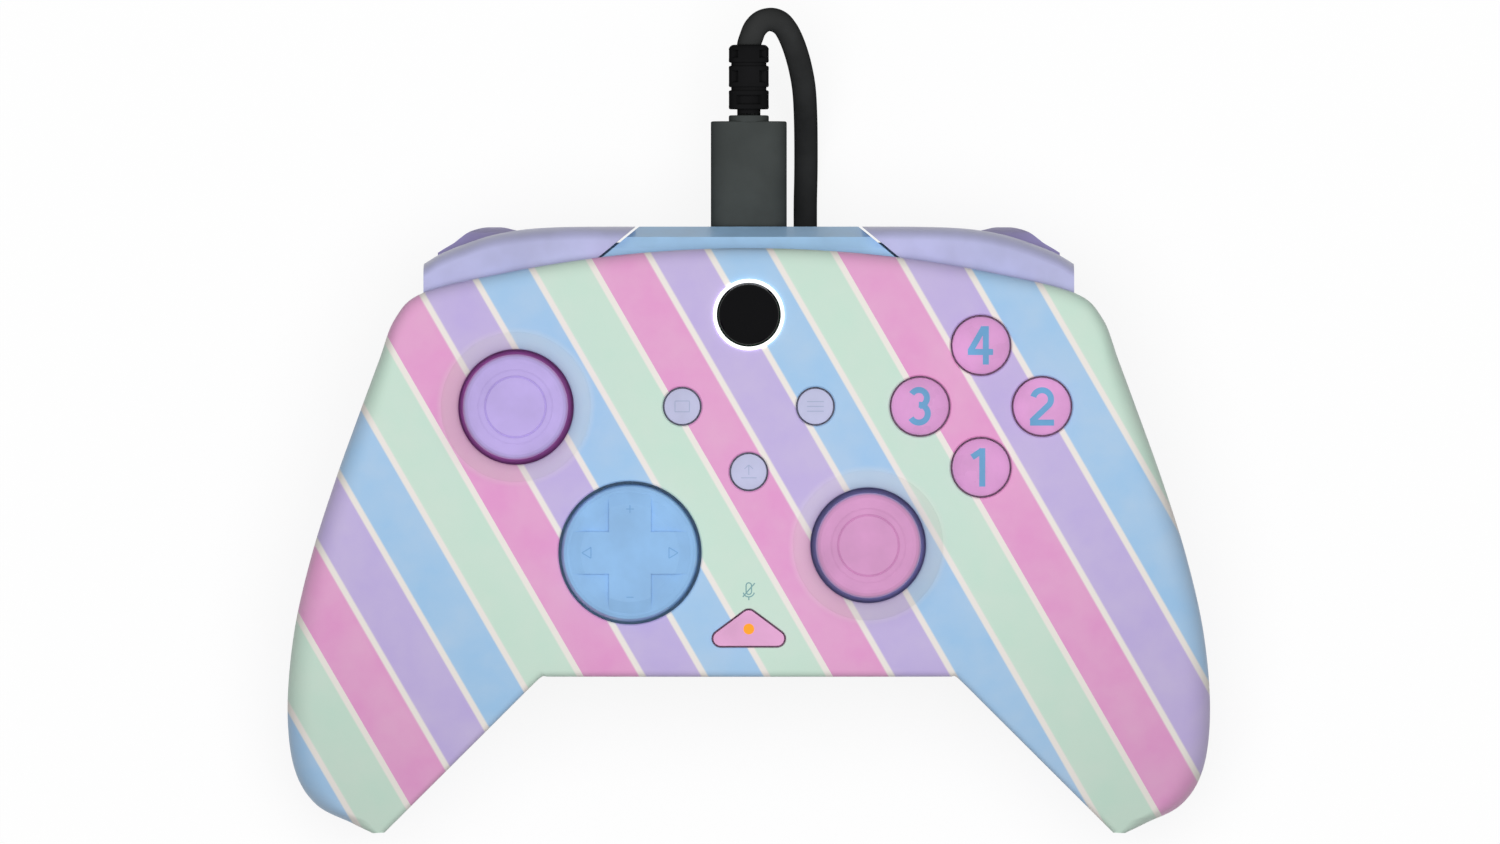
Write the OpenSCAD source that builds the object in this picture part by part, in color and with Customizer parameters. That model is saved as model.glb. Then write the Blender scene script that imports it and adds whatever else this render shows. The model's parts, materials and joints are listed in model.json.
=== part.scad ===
// Wired gamepad, lying face up on its grips and triggers.
// X runs to the right, Y from the grips to the bumpers, Z up along the stick axes.
// The origin is on the surface, under the middle of the pad.

/* [Body outline] */
// Width over the grips
body_w = 154.4; // [150:0.2:160]
// Distance of the face's shoulders from the widest point of the grips
shoulder_in = 23; // [22:0.2:24]
// Fall of the arc along the face's top edge, from its middle to the shoulders
shoulder_drop = 7.4; // [6.8:0.1:8]
// Distance of the top edge's middle from the centre line
top_edge_y = 47.1; // [46.6:0.1:47.6]
// Distance of the straight bottom edge from the centre line
heel_y = 24.4; // [24:0.1:25.4]
// Half the length of the bottom edge between the grips
crotch_x = 34.7; // [34:0.1:36]
// Distance of the grip tips from the centre line
tip_y = 50.75; // [50.4:0.05:53]

/* [Body heights] */
// Height of the middle of the face
face_z = 46.6; // [46.2:0.1:47.6]
// Height of the parting line at the middle
part_z = 31; // [30.6:0.1:31.4]
// Height of the belly
belly_z = 20.6; // [20.2:0.1:21]
// Drop of the face along a grip
grip_drop = 19; // [17:0.5:20]
// Drop of the parting line along a grip
part_drop = 13; // [12:0.5:14]
// Rise of the underside towards a grip's tip
tip_rise = 9; // [6:0.5:11]
// Wall thickness of both shells
wall = 2.2; // [2:0.1:2.4]
// Rounding of the face along the outer sides
side_round = 4.2; // [3.4:0.1:4.8]
// Rounding of the face along its top edge
brow_round = 2.4; // [2:0.1:2.8]
// Rounding of the face along the bottom and inner edges
heel_round = 1.2; // [0.8:0.1:1.6]
// Width of the rounding under the rear shell
under_round = 14; // [13:0.5:15]
// Gap at the parting line
part_gap = 0.2; // [0.1:0.05:0.3]

/* [Fits] */
// Gap between pieces that move past each other
gap = 0.3; // [0.25:0.05:0.35]
// Radial play of a pin in its bore
pin_play = 0.05; // [0.03:0.01:0.08]

/* [Board] */
// Height of the posts under the board
standoff_h = 2.6; // [2.4:0.1:2.9]
// Thickness of the board
board_t = 1.6; // [1.2:0.1:1.8]

/* [Sticks] */
// Left stick, across, as a share of the way to the shoulder
left_stick_share = 0.716; // [0.702:0.002:0.73]
// Left stick, along
left_stick_y = 20.6; // [20:0.1:20.8]
// Right stick, across
right_stick_x = 19.9; // [19.2:0.1:20.6]
// Right stick, along
right_stick_y = -2.45; // [-3.2:0.05:-1.6]
// Diameter of a stick's hole in the face
stick_hole_d = 19.3; // [19.2:0.1:19.8]
// Diameter of the raised collar round that hole
collar_d = 23.7; // [23:0.1:24.4]
// Height of the collar above the face
collar_h = 0.5; // [0.3:0.1:0.7]
// Diameter of a thumb cap
cap_d = 17.5; // [16.5:0.1:18]
// Height of a thumb cap's rim
cap_h = 5.4; // [4.8:0.1:6.4]
// Height of a thumb cap's underside above the face
cap_lift = 6.6; // [6.4:0.1:8]
// Diameter of the stem under a thumb cap
stem_d = 6.4; // [5.8:0.1:6.6]
// Height of a stick's pivot above the board
pivot_h = 6.6; // [6.2:0.1:6.8]
// Width of a stick's frame
frame_w = 17.2; // [16.8:0.1:17.6]
// Thickness of its walls
frame_t = 1.2; // [1:0.1:1.4]
// Diameter of a stick's lever
lever_d = 3; // [2.6:0.1:3.1]
// Diameter of the pins in the sticks and the D-pad
pivot_pin_d = 2; // [1.6:0.1:2.2]
// Travel of a stick's click
click = 0.5; // [0.3:0.1:0.6]

/* [D-pad] */
// D-pad, across
dpad_x = -19.8; // [-20.4:0.1:-19.2]
// D-pad, along
dpad_y = -3.7; // [-4.2:0.1:-3.2]
// Diameter of the disc
dpad_d = 22.4; // [21.6:0.1:22.8]
// Gap round the disc
dpad_gap = 0.75; // [0.7:0.05:0.9]
// Width of the arms of the cross
dpad_arm = 7; // [6:0.1:8]
// Rise of the cross above the face
dpad_rise = 2; // [1.6:0.1:2.6]
// Rise of the cross above the disc
cross_rise = 0.5; // [0.3:0.1:0.8]
// Tilt of the D-pad that its flange clears, in degrees
dpad_tilt = 4; // [3:0.5:4.5]

/* [Buttons] */
// Middle of the four face buttons, across, as a share of the way to the shoulder
cluster_share = 0.714; // [0.708:0.002:0.72]
// Middle of the four face buttons, along
cluster_y = 20.7; // [20.4:0.1:20.8]
// Distance of a face button from that middle
cluster_r = 10.17; // [10.1:0.01:10.2]
// Diameter of a face button
face_d = 9.55; // [9.2:0.05:9.6]
// Travel of a face button
face_travel = 1.3; // [1:0.1:1.4]
// View and menu buttons, off the middle
menu_x = 11.1; // [10.6:0.1:11.6]
// View and menu buttons, along
menu_y = 20.7; // [20:0.1:21.4]
// Share button, along
share_y = 9.8; // [9.2:0.1:10.4]
// Diameter of the three small buttons
small_d = 5.9; // [5.4:0.1:6.4]
// Travel of the small buttons
small_travel = 0.8; // [0.6:0.1:0.9]
// Home button, along
home_y = 36; // [35.6:0.1:36.2]
// Diameter of the home button
home_d = 10.1; // [9.6:0.1:10.2]
// Outer diameter of the light ring round it
ring_d = 11.9; // [11.8:0.1:12.4]
// Function button: middle of its base, along
function_y = -19.5; // [-19.8:0.1:-19.2]
// Width of its opening
function_w = 12.4; // [11.8:0.1:13]
// Height of its opening
function_h = 6.5; // [6.2:0.1:7]
// Rounding of its corners
function_r = 1.5; // [1.2:0.1:1.7]
// Diameter of the light in it
light_d = 1.8; // [1.4:0.1:2]

/* [Bumpers and triggers] */
// Height of the lip over the bumpers
lip_z = 41; // [40.8:0.1:41.2]
// Reach of the bridge from the centre line
bridge_y = 50.75; // [50.5:0.05:51]
// Half the width of the bridge at its front
bridge_x = 18.3; // [18:0.1:18.6]
// Slope of the bridge's ends
bridge_slope = 1.2; // [1.1:0.05:1.25]
// Slit between the bridge and a bumper
slit = 0.6; // [0.5:0.05:0.7]
// Wall of a bumper
bumper_wall = 2; // [1.8:0.1:2.1]
// Lower edge of a bumper
bumper_z = 32.5; // [32.3:0.1:32.7]
// Bumper hinge, along
hinge_y = 46.2; // [46:0.1:46.4]
// Diameter of the bumper's hinge pin
hinge_d = 2.4; // [2.2:0.1:2.6]
// Width of a trigger
trigger_w = 16; // [15.8:0.1:16.2]
// Trigger pin, along
trigger_y = 37; // [36.8:0.1:37.2]
// Trigger pin, up
trigger_z = 32; // [31.9:0.05:32.1]
// Diameter of a trigger's pin
trigger_pin_d = 2.4; // [2.2:0.1:2.6]
// Outer diameter of a trigger's hub
trigger_hub_d = 5.2; // [5:0.1:5.3]

/* [Sockets, motors and screws] */
// Width of the headset jack's bore
jack_d = 3.6; // [3.5:0.05:3.7]
// Depth of that bore
jack_depth = 14; // [13:0.5:15]
// Diameter of a rumble motor
motor_d = 11; // [10:0.1:11.2]
// Length of a rumble motor
motor_l = 13; // [11.5:0.5:14]
// Diameter of a motor's shaft
shaft_d = 2; // [1.6:0.1:2.2]
// Diameter of a rumble weight
weight_d = 13.6; // [12:0.2:14]
// Diameter of a screw's thread
screw_d = 2.2; // [2:0.1:2.4]
// Diameter of a screw's head
screw_head_d = 4.4; // [4:0.1:4.6]

/* [Cord] */
// Diameter of the cord
cord_d = 4; // [3.6:0.1:4.1]
// Distance between the coil's turns and layers
coil_pitch = 4.45; // [4.45:0.05:4.5]
// Radius of the coil's outer turn
coil_r = 31.3; // [31:0.1:31.6]
// Whole turns in the coil
coil_turns = 15; // [14:1:16]
// Width of the plug at the pad
plug_w = 12.7; // [12:0.1:13]
// Thickness of that plug
plug_t = 6.6; // [6.2:0.1:6.8]

/* [Hidden] */
$fn = 64;
function ease(t) = let (c = max(0, min(1, t))) c * c * (3 - 2 * c);
function mix(a, b, t) = a + (b - a) * t;
function flip(p) = [-p.x, p.y];
function unit(v) = v / norm(v);

// Smooth curve through the points p, at s counted in points
function curve(p, s) =
    let (n = len(p) - 1, i = max(0, min(n - 1, floor(s))), t = s - i)
    let (b = p[i], c = p[i + 1])
    let (a = i > 0 ? p[i - 1] : 2 * b - c, d = i < n - 1 ? p[i + 2] : 2 * c - b)
    (2 * b + (c - a) * t + (2 * a - 5 * b + 4 * c - d) * t ^ 2 + (3 * b - a - 3 * c + d) * t ^ 3) / 2;

half_w = body_w / 2;
shoulder_x = half_w - shoulder_in;
top_edge_r = (shoulder_x ^ 2 + shoulder_drop ^ 2) / (2 * shoulder_drop);
// The board, the bumpers and the triggers end at the shoulders
board_x = shoulder_x - 0.2;
brow_x = shoulder_x + 0.8;
bumper_x = shoulder_x + 0.1;
trigger_end = shoulder_x - 2.2;
trigger_x = trigger_end - trigger_w;
hinge_x = bridge_x + 11.2;
left_stick_x = -left_stick_share * shoulder_x;
cluster_x = cluster_share * shoulder_x;
function top_edge(x) = top_edge_y - top_edge_r + sqrt(top_edge_r ^ 2 - x ^ 2);

// Right half of the outline as pairs: outer edge from the top middle to the tip, inner edge opposite
outer_half = concat(
    [for (f = [0 : 0.25 : 1]) [f * shoulder_x, top_edge(f * shoulder_x)]],
    [[half_w - 18.2, 35.4], [half_w - 15.5, 28.4], [half_w - 11.8, 18.4], [half_w - 8.2, 8.4]],
    [[half_w - 4.2, -4.1], [half_w - 1.2, -17], [half_w, -30], [half_w - 1.1, 10.75 - tip_y]],
    [[half_w - 4.7, 4.75 - tip_y], [half_w - 10.7, 1.65 - tip_y], [half_w - 14.2, -tip_y]]);
inner_tip = [half_w - 16.2, 0.1 - tip_y];
crotch = [crotch_x, -heel_y];
inner_half = concat(
    [for (f = [0, 0.26, 0.5, 0.7, 0.84, 0.9, 0.94, 0.97, 0.995]) [f * crotch_x, -heel_y]],
    [for (f = [0.05, 0.18, 0.43, 0.7, 0.87, 0.96, 1]) mix(crotch, inner_tip, f)]);
last = len(outer_half) - 1;
function both(p) = concat([for (i = [last : -1 : 1]) flip(p[i])], p);
outer_edge = both(outer_half);
inner_edge = both(inner_half);

// Point of an edge at station s, moved into the body by inset
function edge(p, s, inset, side) =
    let (t = unit(curve(p, min(2 * last, s + 0.05)) - curve(p, max(0, s - 0.05))))
    curve(p, s) + inset * side * [-t.y, t.x];

// How far a point lies down a grip, from 0 on the body to 1 at the tip
function grip_run(x, y) = max(0, ((abs(x) - 45) * 0.37 + (12 - y) * 0.93) / 64);
function face_at(x, y) =
    face_z - 0.0006 * x ^ 2 - 1.2 * max(0, (y - 36) / 11) ^ 2 - grip_drop * grip_run(x, y) ^ 2;
function part_at(x, y) = part_z - part_drop * grip_run(x, y) ^ 2;
function quarter(d, r) = d >= r ? 0 : r - sqrt(max(0, r ^ 2 - (r - d) ^ 2));

// Distances of a section's points from the inner edge, for a section of length l
function across(l, near, mid, far) =
    let (k = min(1, 0.45 * l / max(max(near), max(far))))
    let (a = k * max(near), b = l - k * max(far))
    concat(k * near, [for (i = [1 : mid]) mix(a, b, i / (mid + 1))],
        [for (i = [len(far) - 1 : -1 : 0]) l - k * far[i]]);

// Sections run from tip to tip, two to each outline point; the inner skins stop a wall short of the tips
sub = 2;
stations = 2 * last * sub;
tip_stop = 0.32 * wall;
function station(i, inset) =
    let (s = i / sub) inset > 0 ? mix(tip_stop, 2 * last - tip_stop, s / (2 * last)) : s;

// Front skin section: up from the parting line, over the face and down again
front_near = [0, 0.25, 0.6, 1.2];
front_far = [0, 0.3, 1, 2.2, 4.2];
function front_section(i, inset) =
    let (s = station(i, inset), k = abs(s - last))
    let (a = edge(inner_edge, s, inset, 1), b = edge(outer_edge, s, inset, -1))
    let (l = norm(b - a), r = max(0.6, mix(brow_round, side_round, ease((k - 4) / 3)) - inset))
    let (h = max(0.4, heel_round - inset), rim = [for (p = [a, b]) [p.x, p.y, part_at(p.x, p.y)]])
    concat([rim[0]],
        [for (d = across(l, front_near, 5, front_far)) let (p = mix(a, b, d / l))
            [p.x, p.y, face_at(p.x, p.y) - inset
                - quarter(d, min(h, l / 2)) - quarter(l - d, min(r, l / 2))]],
        [rim[1]]);

// Rear skin: a flat belly that swells down into the grips and rises again at their tips
rear_near = [0, 0.2, 0.8, 2.2, 4.6, 8.6];
function rear_plateau(k, v) =
    let (along = ease((k - 5) / 6.5), lateral = mix(ease(v / 0.75), 1, ease((k - 8) / 3)))
    belly_z * (1 - along * lateral) + tip_rise * ease((k - 12) / 3);
function rear_point(s, v, inset) =
    let (k = abs(s - last), a = edge(inner_edge, s, inset, 1), b = edge(outer_edge, s, inset, -1))
    let (l = norm(b - a), p = mix(a, b, v), top = part_at(p.x, p.y) - part_gap)
    let (e = min(1, min(v, 1 - v) * l / min(under_round, 0.5 * l)))
    [p.x, p.y, mix(top, min(rear_plateau(k, v) + inset, top - 3), sqrt(1 - (1 - e) ^ 2))];
function rear_section(i, inset) =
    let (s = station(i, inset))
    let (l = norm(edge(outer_edge, s, inset, -1) - edge(inner_edge, s, inset, 1)))
    [for (d = across(l, rear_near, 6, rear_near)) rear_point(s, d / l, inset)];

// Closed shell between an outer and an inner skin that share a rim; turn is 1 for a skin seen from above
module shell(outer, inner, turn) {
    m = len(outer[0]);
    n = len(outer);
    function o(i, j) = i * m + j;
    function q(i, j) = n * m + i * m + j;
    function quad(a, b, c, d) = turn > 0 ? [[a, b, c], [a, c, d]] : [[c, b, a], [d, c, a]];
    function tri(a, b, c) = turn > 0 ? [[a, b, c]] : [[c, b, a]];
    skins = [for (i = [0 : n - 2], j = [0 : m - 2], f = concat(
        quad(o(i, j), o(i, j + 1), o(i + 1, j + 1), o(i + 1, j)),
        quad(q(i, j), q(i + 1, j), q(i + 1, j + 1), q(i, j + 1)))) f];
    rims = [for (i = [0 : n - 2], f = concat(
        quad(o(i, 0), o(i + 1, 0), q(i + 1, 0), q(i, 0)),
        quad(o(i, m - 1), q(i, m - 1), q(i + 1, m - 1), o(i + 1, m - 1)))) f];
    tips = [for (j = [1 : m - 2], f = concat(
        tri(o(0, 0), o(0, j + 1), o(0, j)),
        tri(o(n - 1, 0), o(n - 1, j), o(n - 1, j + 1)),
        tri(q(0, 0), q(0, j), q(0, j + 1)),
        tri(q(n - 1, 0), q(n - 1, j + 1), q(n - 1, j)))) f];
    ends = concat(quad(o(0, 0), q(0, 0), q(0, m - 1), o(0, m - 1)),
        quad(o(n - 1, 0), o(n - 1, m - 1), q(n - 1, m - 1), q(n - 1, 0)));
    polyhedron([for (r = concat(outer, inner), p = r) p], concat(skins, rims, tips, ends), convexity = 8);
}

// Tube along the points p, with a ring square to the path at each; first and final set the end directions
module tube(p, d, sides, ref, first, final) {
    n = len(p);
    rings = [for (i = [0 : n - 1])
        let (t = i == 0 ? unit(first) : i == n - 1 ? unit(final) : unit(p[i + 1] - p[i - 1]))
        let (u = unit(cross(t, ref)), v = cross(u, t))
        [for (j = [0 : sides - 1]) p[i] + d / 2 * (cos(360 * j / sides) * u + sin(360 * j / sides) * v)]];
    function id(i, j) = i * sides + j % sides;
    polyhedron([for (r = rings, q = r) q], concat(
        [for (i = [0 : n - 2], j = [0 : sides - 1], f = [
            [id(i, j), id(i, j + 1), id(i + 1, j + 1)], [id(i, j), id(i + 1, j + 1), id(i + 1, j)]]) f],
        [[for (j = [sides - 1 : -1 : 0]) id(0, j)], [for (j = [0 : sides - 1]) id(n - 1, j)]]),
        convexity = 8);
}

module sided(side) {
    if (side < 0) mirror([1, 0, 0]) children();
    else children();
}
module along_x(x0, x1, d) { translate([x0, 0, 0]) rotate([0, 90, 0]) cylinder(d = d, h = x1 - x0); }
module along_y(y0, y1, d) { translate([0, y0, 0]) rotate([-90, 0, 0]) cylinder(d = d, h = y1 - y0); }
module block(lo, hi) { translate(lo) cube(hi - lo); }
// Extrudes a profile of (y, z) points from x0 to x1
module side_profile(points, x0, x1) {
    translate([x0, 0, 0]) rotate([90, 0, 90]) linear_extrude(x1 - x0) polygon(points);
}

// Heights inside the pad
board_z = belly_z + wall + standoff_h;
board_top = board_z + board_t;
pivot_z = board_top + pivot_h;
left_stick = [left_stick_x, left_stick_y];
right_stick = [right_stick_x, right_stick_y];
dpad_at = [dpad_x, dpad_y];
view_at = [-menu_x, menu_y];
menu_at = [menu_x, menu_y];
share_at = [0, share_y];
home_at = [0, home_y];
function cluster(a) = [cluster_x + cluster_r * cos(a), cluster_y + cluster_r * sin(a)];
face_angles = [0, 90, 180, 270];

// Underside of the face over a round flange of radius r at p, less a gap
function seat(p, r) =
    min([for (a = [0 : 45 : 315]) face_at(p.x + r * cos(a), p.y + r * sin(a))]) - wall - gap;
function dome(r, z, h, n) = [for (i = [0 : n]) [r * cos(90 * i / n), z + h * sin(90 * i / n)]];

// Tact switches on the board, under the small buttons
switch_w = 4.4;
switch_h = 3;
small_foot = board_top + switch_h + small_travel + gap;
// Rubber domes on the membrane, under the face buttons
membrane_t = 1;
dome_h = 2.4;
face_foot = board_top + membrane_t + dome_h + face_travel + gap;

// Triangle with round corners, grown by extra
function triangle(extra) =
    let (r = function_r + extra, bx = function_w / 2 - function_r, h = function_h - 2 * function_r)
    let (a = atan2(bx, h), c = [[bx, function_r], [0, function_r + h], [-bx, function_r]])
    let (from = [-90, a, 180 - a], to = [a, 180 - a, 270])
    [for (i = [0 : 2], f = [0 : 0.125 : 1]) let (b = mix(from[i], to[i], f))
        c[i] + r * [cos(b), sin(b)] + [0, function_y]];

// Screws: station and place across the body, height where the bosses meet
boss_d = 6;
boss_join = board_top + 0.6;
grip_join = 20;
screw_places = [[0, 0.3, boss_join], [6.5, 0.83, boss_join], [-6.5, 0.83, boss_join],
    [10.8, 0.58, grip_join], [-10.8, 0.58, grip_join]];
function under(place) = rear_point(last + place[0], place[1], 0);
screw_seat = 3.2;
screw_head_h = 1.6;
screw_reach = 6;
standoffs = [for (k = [-2.2, 2.2], v = [0.15, 0.8]) [k, v]];
standoff_d = 4;

// Rumble motors stand on posts in the grips, their shafts along Y
motor_place = [8.75, 0.6];
motor_at = under(motor_place);
motor_z = board_z - 0.4 - motor_d / 2;
motor_post_d = 4;
weight_t = 5;
weight_gap = 1.6;

// Opening of the pad under the brow, for the bridge and bumpers
brow_depth = 3.2;
module brow(x0, x1, z0, z1, depth) {
    difference() {
        block([x0, top_edge(brow_x) - depth - 4, z0], [x1, bridge_y + 4, z1]);
        translate([0, top_edge_y - top_edge_r, z0 - 1])
            cylinder(r = top_edge_r - depth, h = z1 - z0 + 2, $fn = 360);
    }
}
bridge_foot = 24.6;
jack_z = board_top + 3;
jack_nose_d = 6;
module jack_hole() {
    translate([0, 0, jack_z]) along_y(-heel_y - 1, -heel_y + 4, jack_nose_d + 2 * gap);
}

// Socket and plug share one axis
socket_h = 3.3;
socket_w = 9;
plug_z = board_top + socket_h / 2;
plug_back = 48.4;
plug_end = 68.4;

// Sticks: the domed skirt passes under the edge of the hole in the face
skirt_t = 1;
skirt_angle = 66;
skirt_r = norm([stick_hole_d / 2, seat(left_stick, stick_hole_d / 2) - pivot_z - 0.2]);
cap_z = face_z + cap_lift;
cap_top = cap_z + cap_h;
lever_top = cap_z - 1;

module front_shell() {
    color("plum")
    difference() {
        union() {
            shell([for (i = [0 : stations]) front_section(i, 0)],
                [for (i = [0 : stations]) front_section(i, wall)], 1);
            for (b = screw_places) let (p = under(b))
                block_boss(p, b[2], face_at(p.x, p.y) - 0.6 * wall);
            for (p = [left_stick, right_stick])
                translate([p.x, p.y, face_at(p.x, p.y) - wall / 2])
                    cylinder(d = collar_d, h = wall / 2 + collar_h);
        }
        for (p = [left_stick, right_stick]) face_hole(p, stick_hole_d);
        face_hole(dpad_at, dpad_d + 2 * dpad_gap);
        for (a = face_angles) face_hole(cluster(a), face_d + 2 * gap);
        for (p = [view_at, menu_at, share_at]) face_hole(p, small_d + 2 * gap);
        face_hole(home_at, ring_d);
        translate([0, 0, face_z - 8]) linear_extrude(12) polygon(triangle(0));
        for (b = screw_places) let (p = under(b))
            translate([p.x, p.y, b[2] - 1]) cylinder(d = screw_d, h = screw_reach + 1.4);
        brow(-brow_x, brow_x, part_z - 2, lip_z, brow_depth);
        jack_hole();
    }
}
module block_boss(p, z0, z1) { translate([p.x, p.y, z0]) cylinder(d = boss_d, h = z1 - z0); }
module face_hole(p, d) { translate([p.x, p.y, face_z - 10]) cylinder(d = d, h = 20); }

module rear_shell() {
    color("lavender")
    difference() {
        union() {
            shell([for (i = [0 : stations]) rear_section(i, 0)],
                [for (i = [0 : stations]) rear_section(i, wall)], -1);
            for (b = screw_places) let (p = under(b)) block_boss(p, p.z + wall / 2, b[2]);
            for (b = standoffs) let (p = under(b))
                translate([p.x, p.y, p.z + wall / 2]) cylinder(d = standoff_d, h = board_z - p.z - wall / 2);
            for (side = [-1, 1])
                translate([side * motor_at.x, motor_at.y, motor_at.z + 0.7 * wall])
                    cylinder(d = motor_post_d, h = motor_z - motor_d / 2 - motor_at.z - 0.7 * wall);
        }
        for (b = screw_places) let (p = under(b)) {
            translate([p.x, p.y, -1]) cylinder(d = screw_d + 2 * gap, h = b[2] + 2);
            translate([p.x, p.y, -1]) cylinder(d = screw_head_d + gap, h = b[2] - screw_seat + 1);
        }
        brow(-bridge_x - gap, bridge_x + gap, bridge_foot - gap, part_z + 2, brow_depth);
        socket_way();
        for (side = [-1, 1]) sided(side)
            block([trigger_x - gap, trigger_y - trigger_hub_d / 2 - gap, -1],
                [trigger_x + trigger_w + ear_t + 3 * gap, bridge_y + 4, part_z + 2]);
        jack_hole();
    }
}

module shell_screws() {
    color("dimgray")
    for (b = screw_places) let (p = under(b), z = b[2] - screw_seat)
        translate([p.x, p.y, z]) {
            cylinder(d = screw_d, h = screw_seat + screw_reach);
            difference() {
                translate([0, 0, -screw_head_h]) cylinder(d = screw_head_d, h = screw_head_h);
                translate([0, 0, -screw_head_h - 1]) cylinder(d = 2, h = 1.9, $fn = 6);
            }
        }
}

// The bridge closes the brow between the bumpers, takes the plug and carries the bumpers' hinge pins
bridge_back = 2.8;
bridge_top = lip_z - 0.4;
bridge_profile = [[40, bridge_foot], [bridge_y - 1.4, bridge_foot], [bridge_y, bridge_foot + 1.6],
    [bridge_y, bridge_top - 7], [bridge_y - 1.75, bridge_top - 2], [bridge_y - 3.65, bridge_top - 0.7],
    [bridge_y - 5.5, bridge_top], [40, bridge_top]];
shelf_z = part_z + 0.3;
shelf_t = 1.3;
hinge_boss_d = 4.8;
module bridge() {
    color("lightblue")
    difference() {
        union() {
            intersection() {
                side_profile(bridge_profile, -40, 40);
                union() {
                    block([-bridge_x, 40, 0], [bridge_x, 60, 60]);
                    translate([0, 0, shelf_z]) linear_extrude(20)
                        polygon([for (s = [[-1, 0], [1, 0], [1, 10], [-1, 10]])
                            [s.x * (bridge_x + bridge_slope * s.y), bridge_y - s.y]]);
                }
            }
            for (side = [-1, 1]) sided(side) {
                block([bridge_x - 2, hinge_y - 2, shelf_z], [hinge_x + 2, hinge_y + 1.9, shelf_z + shelf_t]);
                translate([hinge_x, hinge_y, shelf_z]) cylinder(d = hinge_d, h = bridge_top - shelf_z - 1.2);
            }
        }
        translate([0, top_edge_y - top_edge_r, 0]) cylinder(r = top_edge_r - bridge_back, h = 60, $fn = 360);
        translate([0, plug_back - gap, plug_z])
            plug_form(plug_w + 2 * gap, plug_t + 2 * gap, bridge_y + 2 - plug_back);
        socket_way();
    }
}
module socket_way() {
    translate([0, 40, plug_z]) plug_form(socket_w + 2 * gap, socket_h + 2 * gap, 10);
}
// Flat oval bar along Y
module plug_form(w, t, l) {
    for (s = [-1, 1]) translate([s * (w - t) / 2, 0, 0]) along_y(0, l, t);
    block([-(w - t) / 2, 0, -t / 2], [(w - t) / 2, l, t / 2]);
}

module main_board() {
    color("seagreen") {
        difference() {
            translate([0, 0, board_z]) linear_extrude(board_t)
                polygon(concat(board_half, [for (i = [len(board_half) - 1 : -1 : 0]) flip(board_half[i])]));
            translate([0, under(screw_places[0]).y, 0]) cylinder(d = boss_d + 1, h = 40);
        }
        for (p = [view_at, menu_at, share_at, home_at]) translate([p.x, p.y, board_top]) {
            block([-switch_w / 2, -switch_w / 2, 0], [switch_w / 2, switch_w / 2, 2]);
            cylinder(d = 2, h = switch_h);
        }
    }
}
board_half = [[0, 6.4 - heel_y], [board_x - 17, 6.4 - heel_y], [board_x - 5, -7], [board_x - 2.4, 0],
    [board_x, 12], [board_x, 32.2], [board_x - 3, 34.4], [trigger_x - 0.2, 34.4], [trigger_x - 0.2, 37.4],
    [0, 40.4]];

socket_back = home_y + switch_w / 2 + 0.4;
module usb_socket() {
    color("silver") translate([0, 0, plug_z])
    difference() {
        translate([0, socket_back, 0]) plug_form(socket_w, socket_h, plug_back - 1.4 - socket_back);
        translate([0, socket_back + 2.4, 0]) plug_form(socket_w - 0.6, socket_h - 0.6, 10);
    }
}

module headset_jack() {
    color("black") translate([0, 0, jack_z])
    difference() {
        union() {
            block([-3.2, -heel_y + wall + 1.7, -3], [3.2, -heel_y + jack_depth + 2, 3]);
            along_y(-heel_y, -heel_y + wall + 2, jack_nose_d);
        }
        along_y(-heel_y - 1, -heel_y + jack_depth, jack_d);
    }
}

module face_membrane() {
    color("white") translate([cluster_x, cluster_y, board_top]) {
        for (a = [0, 90]) rotate(a) block([-cluster_r - 2.9, -2.9, 0], [cluster_r + 2.9, 2.9, membrane_t]);
        for (a = face_angles) translate(cluster_r * [cos(a), sin(a)]) translate([0, 0, membrane_t])
            cylinder(r1 = 2.8, r2 = 1.8, h = dome_h);
    }
}

module home_light_ring() {
    z = face_at(0, home_y);
    s = seat(home_at, ring_d / 2 + 1);
    color("white") translate(home_at)
    rotate_extrude() polygon([[home_d / 2 + gap, s - 1], [ring_d / 2 + 1, s - 1], [ring_d / 2 + 1, s],
        [ring_d / 2, s], [ring_d / 2, z + 0.3], [home_d / 2 + gap, z + 0.3]]);
}

// Bumper: a hollow cap under the brow's lip, with a boss on its hinge pin and a rib at its switch
bumper_start = bridge_x + slit;
bumper_fall = [[0, 0], [0.23, 0.02], [0.4, 0.15], [0.54, 0.55], [0.68, 1.45], [0.81, 2.95], [0.92, 4.55],
    [1, 6.25]];
bumper_front = [for (q = bumper_fall) [mix(bumper_start, bumper_x, q.x), bridge_y - q.y]];
bumper_nose = 2.4;
bumper_top = lip_z - 0.4;
bumper_steps = 14;
function bumper_section(i, inset) =
    let (s = 7 * i / bumper_steps, f = curve(bumper_front, s))
    let (lift = i == 0 ? inset : i == bumper_steps ? -inset : 0)
    let (back = top_edge(f.x) - 1.4 + (f.x < hinge_x ? 0.2 : 0), shear = max(0, 1 - s / 2) * bridge_slope)
    let (y1 = f.y - inset, z1 = bumper_top - inset, d = min(bumper_nose, y1 - back - 0.8))
    let (nose = [for (a = [90 : -15 : 0]) [y1 - d + d * cos(a), z1 - 6 + 6 * sin(a)]])
    [for (q = concat([[back, z1]], nose, [[y1, bumper_z]]))
        [f.x + lift + shear * (f.y - q[0]), q[0], q[1]]];
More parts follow.
